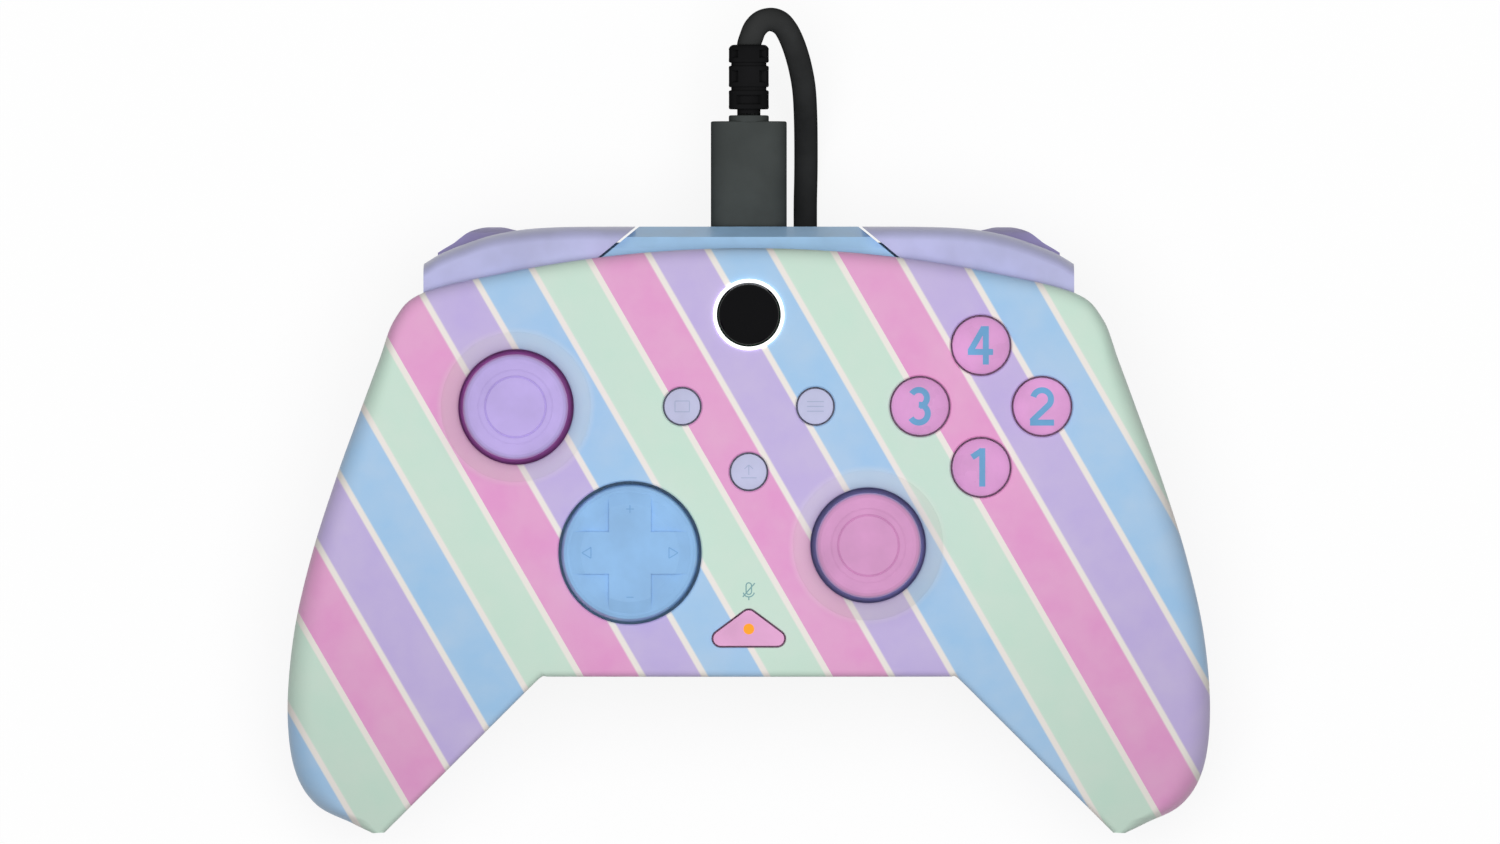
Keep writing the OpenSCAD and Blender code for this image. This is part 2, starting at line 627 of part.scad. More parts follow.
module bumper(side) {
    color("lavender") sided(side)
    difference() {
        union() {
            shell([for (i = [0 : bumper_steps]) bumper_section(i, 0)],
                [for (i = [0 : bumper_steps]) bumper_section(i, bumper_wall)], 1);
            translate([hinge_x, hinge_y, shelf_z + shelf_t + 0.4])
                cylinder(d = hinge_boss_d, h = bumper_top - bumper_wall / 2 - shelf_z - shelf_t - 0.4);
            block([rib_x - 2, rib_y, bracket_top + 0.6],
                [rib_x + 2, rib_y + 1.4, bumper_top - bumper_wall / 2]);
        }
        translate([hinge_x, hinge_y, shelf_z])
            cylinder(d = hinge_d + 2 * pin_play, h = bridge_top - shelf_z - 1);
    }
}
module bumper_left() { bumper(-1); }
module bumper_right() { bumper(1); }

// Trigger bracket: two ears on the board that hold the pin, and a plate over them for the bumper's switch
ear_t = 1.6;
ear_inner = trigger_x - gap - ear_t;
ear_outer = trigger_x + trigger_w + gap;
plate_z = trigger_z + trigger_hub_d / 2 + 0.4;
plate_t = 1.4;
bracket_top = plate_z + plate_t;
plate_y = 35;
ear_front = trigger_y + trigger_hub_d / 2;
plate_corner = ear_front - 2;
rib_x = bumper_x - 8.3;
rib_y = 43.2;
module trigger_bracket(side) {
    color("darkgray") sided(side)
    difference() {
        union() {
            block([ear_inner, plate_y, board_top], [ear_inner + ear_t, ear_front, bracket_top]);
            side_profile([[30, board_top], [34.4, board_top], [ear_front, trigger_z - 2.6],
                [ear_front, trigger_z + 1.8], [plate_corner, bracket_top], [plate_y, bracket_top],
                [30, board_top + 3]], ear_outer, ear_outer + ear_t);
            translate([0, 0, plate_z]) linear_extrude(plate_t)
                polygon([[ear_inner, plate_y], [ear_outer + ear_t, plate_y],
                    [ear_outer + ear_t, plate_corner], [rib_x + 3, ear_front], [ear_inner, ear_front]]);
        }
        translate([0, trigger_y, trigger_z]) along_x(ear_inner - 1, ear_outer + ear_t + 1, trigger_pin_d);
    }
}
module trigger_bracket_left() { trigger_bracket(-1); }
module trigger_bracket_right() { trigger_bracket(1); }

module bumper_switch(side) {
    color("black") sided(side) {
        block([rib_x - 3, plate_y + 0.4, bracket_top], [rib_x + 3, rib_y - 2.6, bracket_top + 1.8]);
        translate([rib_x, 0, bracket_top + 0.9]) along_y(rib_y - 2.6, rib_y - 1.3, 1.2);
    }
}
module bumper_switch_left() { bumper_switch(-1); }
module bumper_switch_right() { bumper_switch(1); }

module trigger_pin(side) {
    color("silver") sided(side) translate([0, trigger_y, trigger_z])
        along_x(ear_inner, ear_outer + ear_t, trigger_pin_d);
}
module trigger_pin_left() { trigger_pin(-1); }
module trigger_pin_right() { trigger_pin(1); }

// Trigger: side view from the hub over the finger face to the lip and back, hollow between its cheeks
trigger_face = [[40, 33], [43.5, 31], [47.4, 29.8], [49.7, 28], [50.7, 24.5], [50.2, 18.5], [48.9, 12],
    [48.7, 7], [49.6, 3.4], [50, 1.6], [49, 0.2]];
trigger_back = [[46.6, 0], [45.2, 1.6], [44.7, 6], [44.8, 12], [45.2, 19], [44.4, 24.6], [41.4, 28]];
trigger_cheek = 1.8;
hub = [trigger_y, trigger_z];
function fine(p) = [for (s = [0 : 0.5 : len(p) - 1]) curve(p, s)];
trigger_profile = concat([for (a = [270 : -22.5 : 90]) hub + trigger_hub_d / 2 * [cos(a), sin(a)]],
    fine(trigger_face), fine(trigger_back));
trigger_hollow = [[trigger_y + trigger_hub_d / 2 + 0.4, 31], [45, 29], [47.4, 27], [48.4, 24], [47.8, 18],
    [46.9, 12], [44, 12], [40, 24]];
trigger_hump = [[12.5, 0.45], [11, 0.1], [9.1, 0], [7.2, 0.2], [5.2, 0.85], [3.7, 1.9], [2.7, 2.7],
    [1.1, 3.65], [0, 4.35]];
trigger_plan = concat([[trigger_x - 1, 30], [trigger_x - 1, bridge_y - 1.5]],
    fine([for (q = trigger_hump) [trigger_end - q.x, bridge_y - q.y]]),
    [[trigger_end + 1, bridge_y - 5], [trigger_end + 1, 30]]);
module trigger(side) {
    color("mediumpurple") sided(side)
    difference() {
        intersection() {
            side_profile(trigger_profile, trigger_x, trigger_x + trigger_w);
            translate([0, 0, -1]) linear_extrude(40) polygon(trigger_plan);
        }
        side_profile(trigger_hollow, trigger_x + trigger_cheek, trigger_x + trigger_w - trigger_cheek);
        translate([0, trigger_y, trigger_z])
            along_x(trigger_x - 1, trigger_x + trigger_w + 1, trigger_pin_d + 2 * pin_play);
    }
}
module trigger_left() { trigger(-1); }
module trigger_right() { trigger(1); }

// Round button: foot, plunger, flange under the face, then a wall and a dome above it
module press_button(p, d, rise, crown, flange, plunger, foot) {
    s = seat(p, d / 2 + flange);
    top = face_at(p.x, p.y) + rise;
    translate([p.x, p.y, 0])
    rotate_extrude() polygon(concat([[0, foot], [plunger, foot], [plunger, s - 1.2]],
        [[d / 2 + flange, s - 1.2], [d / 2 + flange, s], [d / 2, s]], dome(d / 2, top, crown, 8)));
}
module face_button(a) { color("orchid") press_button(cluster(a), face_d, 1, 1, 1.2, 2.2, face_foot); }
module button_east() { face_button(0); }
module button_north() { face_button(90); }
module button_west() { face_button(180); }
module button_south() { face_button(270); }
module small_button(p) { color("lavender") press_button(p, small_d, 0.5, 0.3, 1.2, 1.6, small_foot); }
module view_button() { small_button(view_at); }
module menu_button() { small_button(menu_at); }
module share_button() { small_button(share_at); }
module home_button() { color("black") press_button(home_at, home_d, 0.5, 1.1, 0, 2, small_foot); }

function_top = face_at(0, function_y + 3) + 0.5;
light_at = [0, function_y + 3.1];
module function_button() {
    s = face_at(0, function_y - 1.5) - wall - gap;
    color("pink")
    difference() {
        union() {
            translate([0, 0, s - 1]) linear_extrude(function_top - s + 1) polygon(triangle(-gap));
            translate([0, 0, s - 1.2]) linear_extrude(1.2) polygon(triangle(1));
            translate([0, light_at.y, jack_z + 3 + small_travel + gap]) cylinder(d = 3.2, h = s - jack_z - 4);
        }
        translate([light_at.x, light_at.y, function_top - 2]) cylinder(d = light_d, h = 3);
    }
}
module function_light() {
    color("orange") translate([light_at.x, light_at.y, function_top - 2]) cylinder(d = light_d, h = 2);
}

// D-pad on a cross-shaped rocker: the rocker tilts in the base, the disc tilts on the rocker
dpad_pivot_z = face_z - 6.2;
dpad_face = face_at(dpad_x, dpad_y);
post_x = 6;
post_t = 1.8;
lug_y = 4.4;
lug_t = 1.8;
module dpad_base() {
    color("white") translate([dpad_x, dpad_y, 0])
    difference() {
        union() {
            translate([0, 0, board_top]) cylinder(r = 9, h = 1.2);
            for (s = [-1, 1]) translate([s * (post_x + post_t / 2), 0, 0])
                block([-post_t / 2, -2, board_top], [post_t / 2, 2, dpad_pivot_z + 1.8]);
        }
        translate([0, 0, dpad_pivot_z]) along_x(-post_x - 4, post_x + 4, pivot_pin_d + 2 * pin_play);
    }
}
module dpad_rocker() {
    color("gray") translate([dpad_x, dpad_y, dpad_pivot_z]) {
        along_x(-post_x - post_t, post_x + post_t, pivot_pin_d);
        along_y(-lug_y - lug_t, lug_y + lug_t, pivot_pin_d);
        block([-2, -2, -1.6], [2, 2, 1.6]);
    }
}
module dpad() {
    z2 = dpad_face + dpad_rise;
    z1 = z2 - cross_rise;
    z0 = z1 - 2.6;
    flange_z = seat(dpad_at, dpad_d / 2 + 1.6) - (dpad_d / 2 + 1.6) * sin(1.5 * dpad_tilt);
    r = dpad_d / 2;
    color("skyblue") translate([dpad_x, dpad_y, 0])
    difference() {
        union() {
            rotate_extrude() polygon([[0, z0], [r - 2, z0], [r - 2, flange_z - 1], [r + 1.6, flange_z - 1],
                [r + 1.6, flange_z], [r + dpad_gap / 3, flange_z], [r + dpad_gap / 3, dpad_face - 0.4],
                [r, z1 - 0.6], [r - 0.2, z1 - 0.2], [r - 0.7, z1], [r - 1.6, z1], [r - 3.6, z1 - 0.3],
                [0, z1 - 0.4]]);
            intersection() {
                for (a = [0, 90]) rotate(a)
                    block([-r, -dpad_arm / 2, z0 + 1], [r, dpad_arm / 2, z1 + 3]);
                rotate_extrude() polygon([[0, z0], [r, z0], [r, z1 - 0.7], [r - 0.4, z1 - 0.2],
                    [r - 1.4, mix(z1, z2, 0.2)], [r - 3, z2], [0, z2 - 0.4]]);
            }
            for (s = [-1, 1]) translate([0, s * (lug_y + lug_t / 2), 0])
                block([-2, -lug_t / 2, dpad_pivot_z - 2], [2, lug_t / 2, z0 + 0.4]);
        }
        translate([0, 0, dpad_pivot_z]) along_y(-lug_y - 4, lug_y + 4, pivot_pin_d + 2 * pin_play);
    }
}

// Stick: a frame on the board, a yoke that tilts about X, a trunnion in it that tilts about Y, the lever that
// slides in the trunnion, an arc over them that follows the tilt about Y, and the thumb cap with its skirt
module at_pivot(p) { translate([p.x, p.y, pivot_z]) children(); }
frame_in = frame_w / 2 - frame_t;
frame_rise = 2.2;
frame_floor = 1.2;
bore_d = pivot_pin_d + 2 * pin_play;
module stick_frame(p) {
    color("silver") at_pivot(p)
    difference() {
        union() {
            block([-frame_w / 2, -frame_w / 2, -pivot_h], [frame_w / 2, frame_w / 2, frame_floor - pivot_h]);
            for (a = [0, 90, 180, 270]) rotate(a)
                block([frame_in, -4.8, -pivot_h], [frame_w / 2, 4.8, frame_rise]);
        }
        along_x(-frame_w, frame_w, bore_d);
        along_y(-frame_w, frame_w, bore_d);
    }
}
arc_out = frame_in - 0.5;
arc_in = arc_out - 1.2;
arc_x = 3;
ring_x = frame_in - 1.4;
ring_y = arc_in - 0.7;
ring_t = 1.4;
module stick_yoke(p) {
    color("gray") at_pivot(p) {
        difference() {
            block([-ring_x, -ring_y, -1.5], [ring_x, ring_y, 1.5]);
            block([ring_t - ring_x, ring_t - ring_y, -2], [ring_x - ring_t, ring_y - ring_t, 2]);
            along_y(-ring_y - 1, ring_y + 1, bore_d);
        }
        for (s = [-1, 1]) sided(s) along_x(ring_x - 0.4, frame_w / 2, pivot_pin_d);
    }
}
module stick_trunnion(p) {
    color("white") at_pivot(p)
    difference() {
        union() {
            block([-3, ring_t + 0.4 - ring_y, -1.7], [3, ring_y - ring_t - 0.4, 1.7]);
            along_y(-ring_y, ring_y, pivot_pin_d);
        }
        translate([0, 0, -3]) cylinder(d = lever_d + 2 * pin_play, h = 6);
    }
}
module stick_arc(p) {
    color("dimgray") at_pivot(p) {
        difference() {
            along_x(-arc_x, arc_x, 2 * arc_out);
            along_x(-arc_x - 1, arc_x + 1, 2 * arc_in);
            block([-arc_x - 1, -arc_out - 1, -arc_out - 1], [arc_x + 1, arc_out + 1, -1.4]);
            block([-lever_d / 2 - 0.35, -4.2, 2], [lever_d / 2 + 0.35, 4.2, 9]);
        }
        for (s = [0, 180]) rotate(s) along_y(arc_in + 0.3, frame_w / 2, pivot_pin_d);
    }
}
// Top of a thumb cap: a soft edge, a shallow dish and a fine ring in it
cap_edge = 1.3;
dish_r = 6.3;
groove_r = 5.05;
// The lever's foot clears the frame's floor, tilted and clicked in
lever_foot = pivot_h - frame_floor - click - 3 * gap;
module stick_lever(p) {
    color("silver") at_pivot(p) translate([0, 0, -lever_foot]) {
        cylinder(d = lever_d, h = lever_top - pivot_z + lever_foot);
        cylinder(d = lever_d + 1.6, h = 1);
    }
}
module stick_cap(p, tint) {
    z0 = cap_z - pivot_z;
    z1 = cap_top - pivot_z;
    r = cap_d / 2;
    bore = lever_d / 2 + pin_play;
    inside = skirt_r - skirt_t;
    function skirt(q, a) = q * [sin(a), cos(a)];
    from = asin(stem_d / 2 / skirt_r);
    to = asin(bore / inside);
    color(tint) at_pivot(p)
    rotate_extrude() polygon(concat(
        [for (f = [0 : 0.1 : 1]) skirt(skirt_r, mix(skirt_angle, from, f))],
        [[stem_d / 2, z0 - 0.6], [stem_d / 2 + 0.8, z0], [r - 1.2, z0 + 0.6], [r - 0.3, z0 + 1.4]],
        [[r, z0 + 2.4]], [for (a = [0 : 22.5 : 90]) [r, z1] + cap_edge * [cos(a) - 1, sin(a) - 1]],
        [[dish_r, z1], [dish_r - 0.3, z1 - 0.15], [groove_r + 0.2, z1 - 0.3], [groove_r, z1 - 0.5]],
        [[groove_r - 0.2, z1 - 0.32], [0, z1 - 0.5]],
        [[0, lever_top - pivot_z], [bore, lever_top - pivot_z]],
        [for (f = [0 : 0.1 : 1]) skirt(inside, mix(to, skirt_angle, f))]));
}
module stick_frame_left() { stick_frame(left_stick); }
module stick_frame_right() { stick_frame(right_stick); }
module stick_yoke_left() { stick_yoke(left_stick); }
module stick_yoke_right() { stick_yoke(right_stick); }
module stick_trunnion_left() { stick_trunnion(left_stick); }
module stick_trunnion_right() { stick_trunnion(right_stick); }
module stick_arc_left() { stick_arc(left_stick); }
module stick_arc_right() { stick_arc(right_stick); }
module stick_lever_left() { stick_lever(left_stick); }
module stick_lever_right() { stick_lever(right_stick); }
module stick_cap_left() { stick_cap(left_stick, "thistle"); }
module stick_cap_right() { stick_cap(right_stick, "orchid"); }

// Rumble motor with its shaft towards the grip's tip, and an eccentric weight on the shaft
module motor(side) {
    color("silver") sided(side) translate([motor_at.x, motor_at.y, motor_z]) {
        along_y(-motor_l / 2, motor_l / 2, motor_d);
        along_y(-motor_l / 2 - 1, -motor_l / 2, 4);
        along_y(-motor_l / 2 - weight_gap - weight_t, -motor_l / 2, shaft_d);
    }
}
module motor_left() { motor(-1); }
module motor_right() { motor(1); }
module weight(side) {
    y1 = -motor_l / 2 - weight_gap;
    color("goldenrod") sided(side) translate([motor_at.x, motor_at.y, motor_z])
    difference() {
        union() {
            along_y(y1 - weight_t, y1, shaft_d + 2.8);
            intersection() {
                along_y(y1 - weight_t, y1, weight_d);
                block([-weight_d, y1 - weight_t, -weight_d], [weight_d, y1, -0.2]);
            }
        }
        along_y(y1 - weight_t - 1, y1 + 1, shaft_d + 2 * pin_play);
    }
}
module weight_left() { weight(-1); }
module weight_right() { weight(1); }

// Plug at the pad: overmould with a chamfered nose, a tongue in the socket, a neck and a collar
relief_start = 70.4;
relief_end = 81;
relief_d = 6.7;
module usb_plug() {
    color("dimgray") translate([0, 0, plug_z]) {
        translate([0, plug_back, 0]) plug_form(plug_w, plug_t, plug_end - plug_back);
        translate([0, 41.4, 0]) plug_form(socket_w - 0.9, socket_h - 0.9, plug_back - 41.2);
        along_y(plug_end - 0.1, relief_start - 0.8, cord_d);
        along_y(plug_end + 0.5, relief_start - 0.8, relief_d);
    }
}
// Strain relief: a neck and three cells; the first cell has windows above and below, the others at the sides
relief_cells = [[relief_start, 73.6], [74.1, 77.7], [78.2, relief_end]];
relief_core = 5;
module strain_relief() {
    r = relief_d / 2;
    color("black") translate([0, 0, plug_z])
    difference() {
        rotate([-90, 0, 0]) rotate_extrude() polygon(concat(
            [[0, relief_start - 0.8], [cord_d / 2, relief_start - 0.8], [cord_d / 2, relief_start]],
            [for (c = relief_cells, q = [[relief_core / 2, c[0]], [r - 0.2, c[0]], [r, c[0] + 0.2],
                [r, c[1] - 0.2], [r - 0.2, c[1]], [relief_core / 2, c[1]]]) q],
            [[0, relief_end]]));
        for (i = [0 : 2], m = [0, 1]) let (c = relief_cells[i])
            rotate([0, i == 0 ? 0 : 90, 0]) mirror([0, 0, m])
            block([-1.7, c[0] + 0.9, relief_core / 2], [1.7, c[1] - 0.9, relief_d]);
    }
}

// Coil under the belly: four layers that spiral in and out, climbing where the spiral turns back
coil_at = [0, 10];
coil_lift = 1;
lead_angle = 55;
tail_angle = 270;
coil_span = coil_turns + ((lead_angle - tail_angle + 360) % 360) / 360;
coil_layers = 4;
layer_turns = coil_span / coil_layers;
loop_rings = 24;
function coil_point(t) =
    let (layer = min(coil_layers - 1, floor(t / layer_turns)), u = t - layer * layer_turns)
    let (in = layer % 2 == 0 ? u : layer_turns - u, r = coil_r - coil_pitch * in, a = lead_angle - 360 * t)
    let (near = round(t / layer_turns), off = t - near * layer_turns)
    let (climbs = near > 0 && near < coil_layers && abs(off) < 0.25)
    let (level = climbs ? near - 1 + ease(2 * off + 0.5) : layer)
    [coil_at.x + r * cos(a), coil_at.y + r * sin(a), coil_lift + cord_d / 2 + coil_pitch * level];
function heading(a) = [sin(a), -cos(a), 0];
coil_start = coil_point(0) - cord_d * heading(lead_angle);
coil_end = coil_point(coil_span) + cord_d * heading(tail_angle);
coil_path = concat([coil_start], [for (i = [0 : floor(coil_span * loop_rings)]) coil_point(i / loop_rings)],
    [coil_point(coil_span), coil_end]);
coil_gap = min([for (i = [0 : len(coil_path) - 20], j = [i + 12 : len(coil_path) - 1])
    norm(coil_path[i] - coil_path[j])]) - cord_d;
echo(least_gap_in_coil = coil_gap);
module cord_coil() {
    color("black") tube(coil_path, cord_d, 6, [0, 0, 1], heading(lead_angle), heading(tail_angle));
}

// Free stretches of the cord: down and back under the pad to the coil, and from the coil to the far plug
lead_route = [[0, relief_end, plug_z], [0.45, 82.2, 28.6], [1.25, 83.6, 28.4], [2.35, 84.9, 28.1],
    [3.6, 85.4, 27.7], [4.9, 85, 27.1], [6.1, 83.8, 26.3], [7.2, 81.9, 25], [8.1, 79.6, 23.2],
    [8.8, 76.9, 20.8], [9.3, 73.8, 17.8], [9.5, 70, 13.8], [9.6, 65.4, 9], [9.6, 60, 4.8], [9.5, 54, 2.5],
    [9.6, 48, 2.2], [10.2, 44.2, 2.6], [11.9, 40.7, 2.8], coil_start];
tail_route = [coil_end, [-10, -21.3, 16.3], [-18, -21, 14.4], [-26, -19.6, 10.6], [-33, -16.4, 7],
    [-38.5, -11.2, 4.9], [-41.4, -5.6, 4.1], [-42, -1, 4]];
module cord_lead() {
    color("black") tube(fine(lead_route), cord_d, 8, [0, 0, 1], [0, 1, 0], heading(lead_angle));
}
module cord_tail() {
    color("black") tube(fine(tail_route), cord_d, 8, [0, 0, 1], heading(tail_angle), [0, 1, 0]);
}

// Strap round the coil's turns
tie_w = 8;
tie_t = 0.7;
tie_gap = 0.4;
module coil_tie() {
    x1 = coil_r + cord_d / 2 + tie_gap;
    x0 = coil_r - coil_pitch * layer_turns - cord_d / 2 - 1;
    z1 = coil_lift + cord_d + coil_pitch * (coil_layers - 1) + tie_gap;
    color("dimgray") translate([coil_at.x, coil_at.y, 0])
    difference() {
        block([x0 - tie_t, -tie_w / 2, 0], [x1 + tie_t, tie_w / 2, z1 + tie_t]);
        block([x0, -tie_w, tie_t], [x1, tie_w, z1]);
    }
}

// Plug at the far end: sleeve, overmould and a flat metal shell
far_at = tail_route[len(tail_route) - 1];
far_w = 15.6;
far_t = 7.8;
module far_plug() {
    color("dimgray") translate(far_at)
    difference() {
        union() {
            rotate([-90, 0, 0]) cylinder(d1 = cord_d + 1, d2 = cord_d + 2.4, h = 6);
            block([-far_w / 2, 6, -far_t / 2], [far_w / 2, 25, far_t / 2]);
            block([-6, 25, -2.25], [6, 37, 2.25]);
        }
        block([-5.6, 27, -1.85], [5.6, 38, 1.85]);
    }
}

front_shell();
rear_shell();
shell_screws();
bridge();
main_board();
usb_socket();
headset_jack();
face_membrane();
home_light_ring();
bumper_left();
bumper_right();
bumper_switch_left();
bumper_switch_right();
trigger_left();
trigger_right();
trigger_bracket_left();
trigger_bracket_right();
trigger_pin_left();
trigger_pin_right();
button_east();
button_north();
button_west();
button_south();
home_button();
view_button();
menu_button();
share_button();
function_button();
function_light();
dpad_base();
dpad_rocker();
dpad();
stick_frame_left();
stick_frame_right();
stick_yoke_left();
stick_yoke_right();
stick_trunnion_left();
stick_trunnion_right();
stick_arc_left();
stick_arc_right();
stick_lever_left();
stick_lever_right();
stick_cap_left();
stick_cap_right();
motor_left();
motor_right();
weight_left();
weight_right();
usb_plug();
strain_relief();
cord_lead();
cord_coil();
coil_tie();
cord_tail();
far_plug();
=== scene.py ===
# %% [markdown]
# # A wired gamepad, seen from straight above
# The solids of the pad are already made and packed. This lesson loads them as a fixed frame and dresses
# them: smooth mouldings, printed plastic, rubber, steel and the cord. Everything is in metres and in the
# solids' own axes: X to the right of the face, Y from the grips to the bumpers, Z up along the sticks.

import json
import math

import bmesh
import bpy
import numpy as np
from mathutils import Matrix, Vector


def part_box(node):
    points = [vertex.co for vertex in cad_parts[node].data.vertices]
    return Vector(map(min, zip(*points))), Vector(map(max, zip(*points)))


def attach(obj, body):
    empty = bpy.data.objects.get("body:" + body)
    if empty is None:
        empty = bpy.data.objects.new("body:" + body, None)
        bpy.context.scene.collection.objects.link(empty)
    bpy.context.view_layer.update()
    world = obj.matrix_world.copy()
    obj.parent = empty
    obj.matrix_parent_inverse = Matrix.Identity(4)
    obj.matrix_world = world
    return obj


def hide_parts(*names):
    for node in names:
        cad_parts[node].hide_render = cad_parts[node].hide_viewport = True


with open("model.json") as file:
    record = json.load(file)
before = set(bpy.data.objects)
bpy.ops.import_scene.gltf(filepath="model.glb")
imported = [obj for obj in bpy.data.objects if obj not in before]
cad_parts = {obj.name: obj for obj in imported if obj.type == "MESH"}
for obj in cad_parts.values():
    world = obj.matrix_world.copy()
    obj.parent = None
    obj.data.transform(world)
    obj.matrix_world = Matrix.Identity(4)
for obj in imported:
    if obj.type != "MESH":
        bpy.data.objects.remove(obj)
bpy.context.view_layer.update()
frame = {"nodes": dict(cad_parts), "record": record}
nodes = frame["nodes"]
scene = bpy.context.scene
scene.view_settings.view_transform = "Standard"
MM = 0.001

# %% [markdown]
# ## The camera
# The photograph looks straight down on the face, so no side of the pad shows. A very long lens from almost
# five metres gives that flat look, and the frame is 250 mm wide at the height of the face.

# %% Place the camera
FACE_HEIGHT = 0.0466
STAND_OFF = 4.8
FRAME_WIDTH = 0.25
SENSOR = 36.0
lens = bpy.data.cameras.new("photo_camera")
lens.sensor_width = SENSOR
lens.lens = SENSOR * STAND_OFF / FRAME_WIDTH
camera = bpy.data.objects.new("photo_camera", lens)
camera.location = (0.0002, 0.0181, FACE_HEIGHT + STAND_OFF)
scene.collection.objects.link(camera)
scene.camera = camera
print("lens", round(lens.lens, 1), "mm")

# %% [markdown]
# ## Small helpers
# A mesh is a list of points and a list of faces. These helpers turn such lists into objects, give them
# smooth shading with crisp edges, and tie each one to the body that carries it.


# %% Mesh helpers
def mesh_object(name, points, faces, sharp=35):
    """A mesh object from points in millimetres."""
    mesh = bpy.data.meshes.new(name)
    mesh.from_pydata([tuple(float(c) * MM for c in p) for p in points], [], [tuple(f) for f in faces])
    mesh.validate()
    piece = bpy.data.objects.new(name, mesh)
    scene.collection.objects.link(piece)
    outward(piece)
    shade(piece, sharp)
    return piece


def outward(piece):
    """Turn every face of a closed mesh outward."""
    work = bmesh.new()
    work.from_mesh(piece.data)
    bmesh.ops.remove_doubles(work, verts=work.verts, dist=1e-8)
    bmesh.ops.recalc_face_normals(work, faces=work.faces)
    work.to_mesh(piece.data)
    work.free()


def shade(piece, sharp=35):
    """Smooth shading that stays crisp where faces meet at more than this many degrees."""
    mesh = piece.data
    mesh.polygons.foreach_set("use_smooth", [True] * len(mesh.polygons))
    mesh.set_sharp_from_angle(angle=math.radians(sharp))


def carve(piece, tool, how="DIFFERENCE"):
    """Cut a tool out of a piece, or add it, and remove the tool."""
    step = piece.modifiers.new("carve", "BOOLEAN")
    step.object = tool
    step.operation = how
    step.solver = "EXACT"
    view = bpy.context.evaluated_depsgraph_get()
    done = bpy.data.meshes.new_from_object(piece.evaluated_get(view))
    piece.modifiers.clear()
    piece.data = done
    bpy.data.objects.remove(tool)


def dress(piece, body, finish, *stands_for):
    """Give a piece its finish and the body that it moves with; it may stand for solids of the frame."""
    piece.data.materials.clear()
    piece.data.materials.append(finish)
    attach(piece, body)
    if stands_for:
        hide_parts(*stands_for)
    return piece


# %% Curves through points
def mix(a, b, t):
    return a + (b - a) * t


def ease(t):
    t = min(1.0, max(0.0, t))
    return t * t * (3 - 2 * t)


def along(points, s):
    """Smooth curve through the points, at s counted in points."""
    n = len(points) - 1
    i = max(0, min(n - 1, math.floor(s)))
    t = s - i
    b, c = points[i], points[i + 1]
    a = points[i - 1] if i > 0 else 2 * b - c
    d = points[i + 2] if i < n - 1 else 2 * c - b
    return (2 * b + (c - a) * t + (2 * a - 5 * b + 4 * c - d) * t**2 + (3 * b - a - 3 * c + d) * t**3) / 2


def finer(points, per):
    points = [np.array(p, float) for p in points]
    count = (len(points) - 1) * per
    return [along(points, i / per) for i in range(count + 1)]


# %% [markdown]
# ## Finishes
# Moulded plastic is never one flat colour: its tone drifts a little, its gloss is uneven and it has a fine
# grain. One helper builds all of that from noise, so each plastic only names its colour, gloss and grain.


# %% Node helpers
def linear(rgb):
    """Screen colour, 0 to 255, as the linear colour that shaders use."""
    return [(c / 255 / 12.92 if c <= 10 else ((c / 255 + 0.055) / 1.055) ** 2.4) for c in rgb] + [1.0]


def add(tree, kind, props=None, **inputs):
    """A node with properties and inputs set or linked; i0 is an input by number, and _ in a name is a space."""
    node = tree.nodes.new("ShaderNode" + kind)
    for key, value in (props or {}).items():
        setattr(node, key, value)
    for key, value in inputs.items():
        key = key.replace("_", " ")
        socket = node.inputs[int(key[1:]) if key[0] == "i" and key[1:].isdigit() else key]
        if isinstance(value, bpy.types.NodeSocket):
            tree.links.new(value, socket)
        else:
            socket.default_value = value
    return node


def ramp(tree, factor, stops):
    """Colour that follows a factor through the stops: (place, screen colour)."""
    node = add(tree, "ValToRGB", Fac=factor)
    strip = node.color_ramp.elements
    while len(strip) < len(stops):
        strip.new(0.5)
    for element, (place, rgb) in zip(strip, stops):
        element.position = place
        element.color = linear(rgb)
    return node.outputs["Color"]


def spread(tree, value, low, high, to_low, to_high):
    """Value carried from one range to another, clamped."""
    return add(tree, "MapRange", i0=value, i1=low, i2=high, i3=to_low, i4=to_high).outputs[0]


def blend_colour(tree, factor, a, b, how="MIX"):
    node = add(tree, "Mix", {"data_type": "RGBA", "blend_type": how}, i0=factor, i6=a, i7=b)
    return node.outputs[2]


def new_finish(name, slot):
    finish = bpy.data.materials.new(name)
    finish.use_nodes = True
    finish["slot"] = slot
    tree = finish.node_tree
    return finish, tree, tree.nodes["Principled BSDF"], add(tree, "TexCoord").outputs["Object"]


def tint(rgb, by):
    return [min(255, max(0, c * by)) for c in rgb]


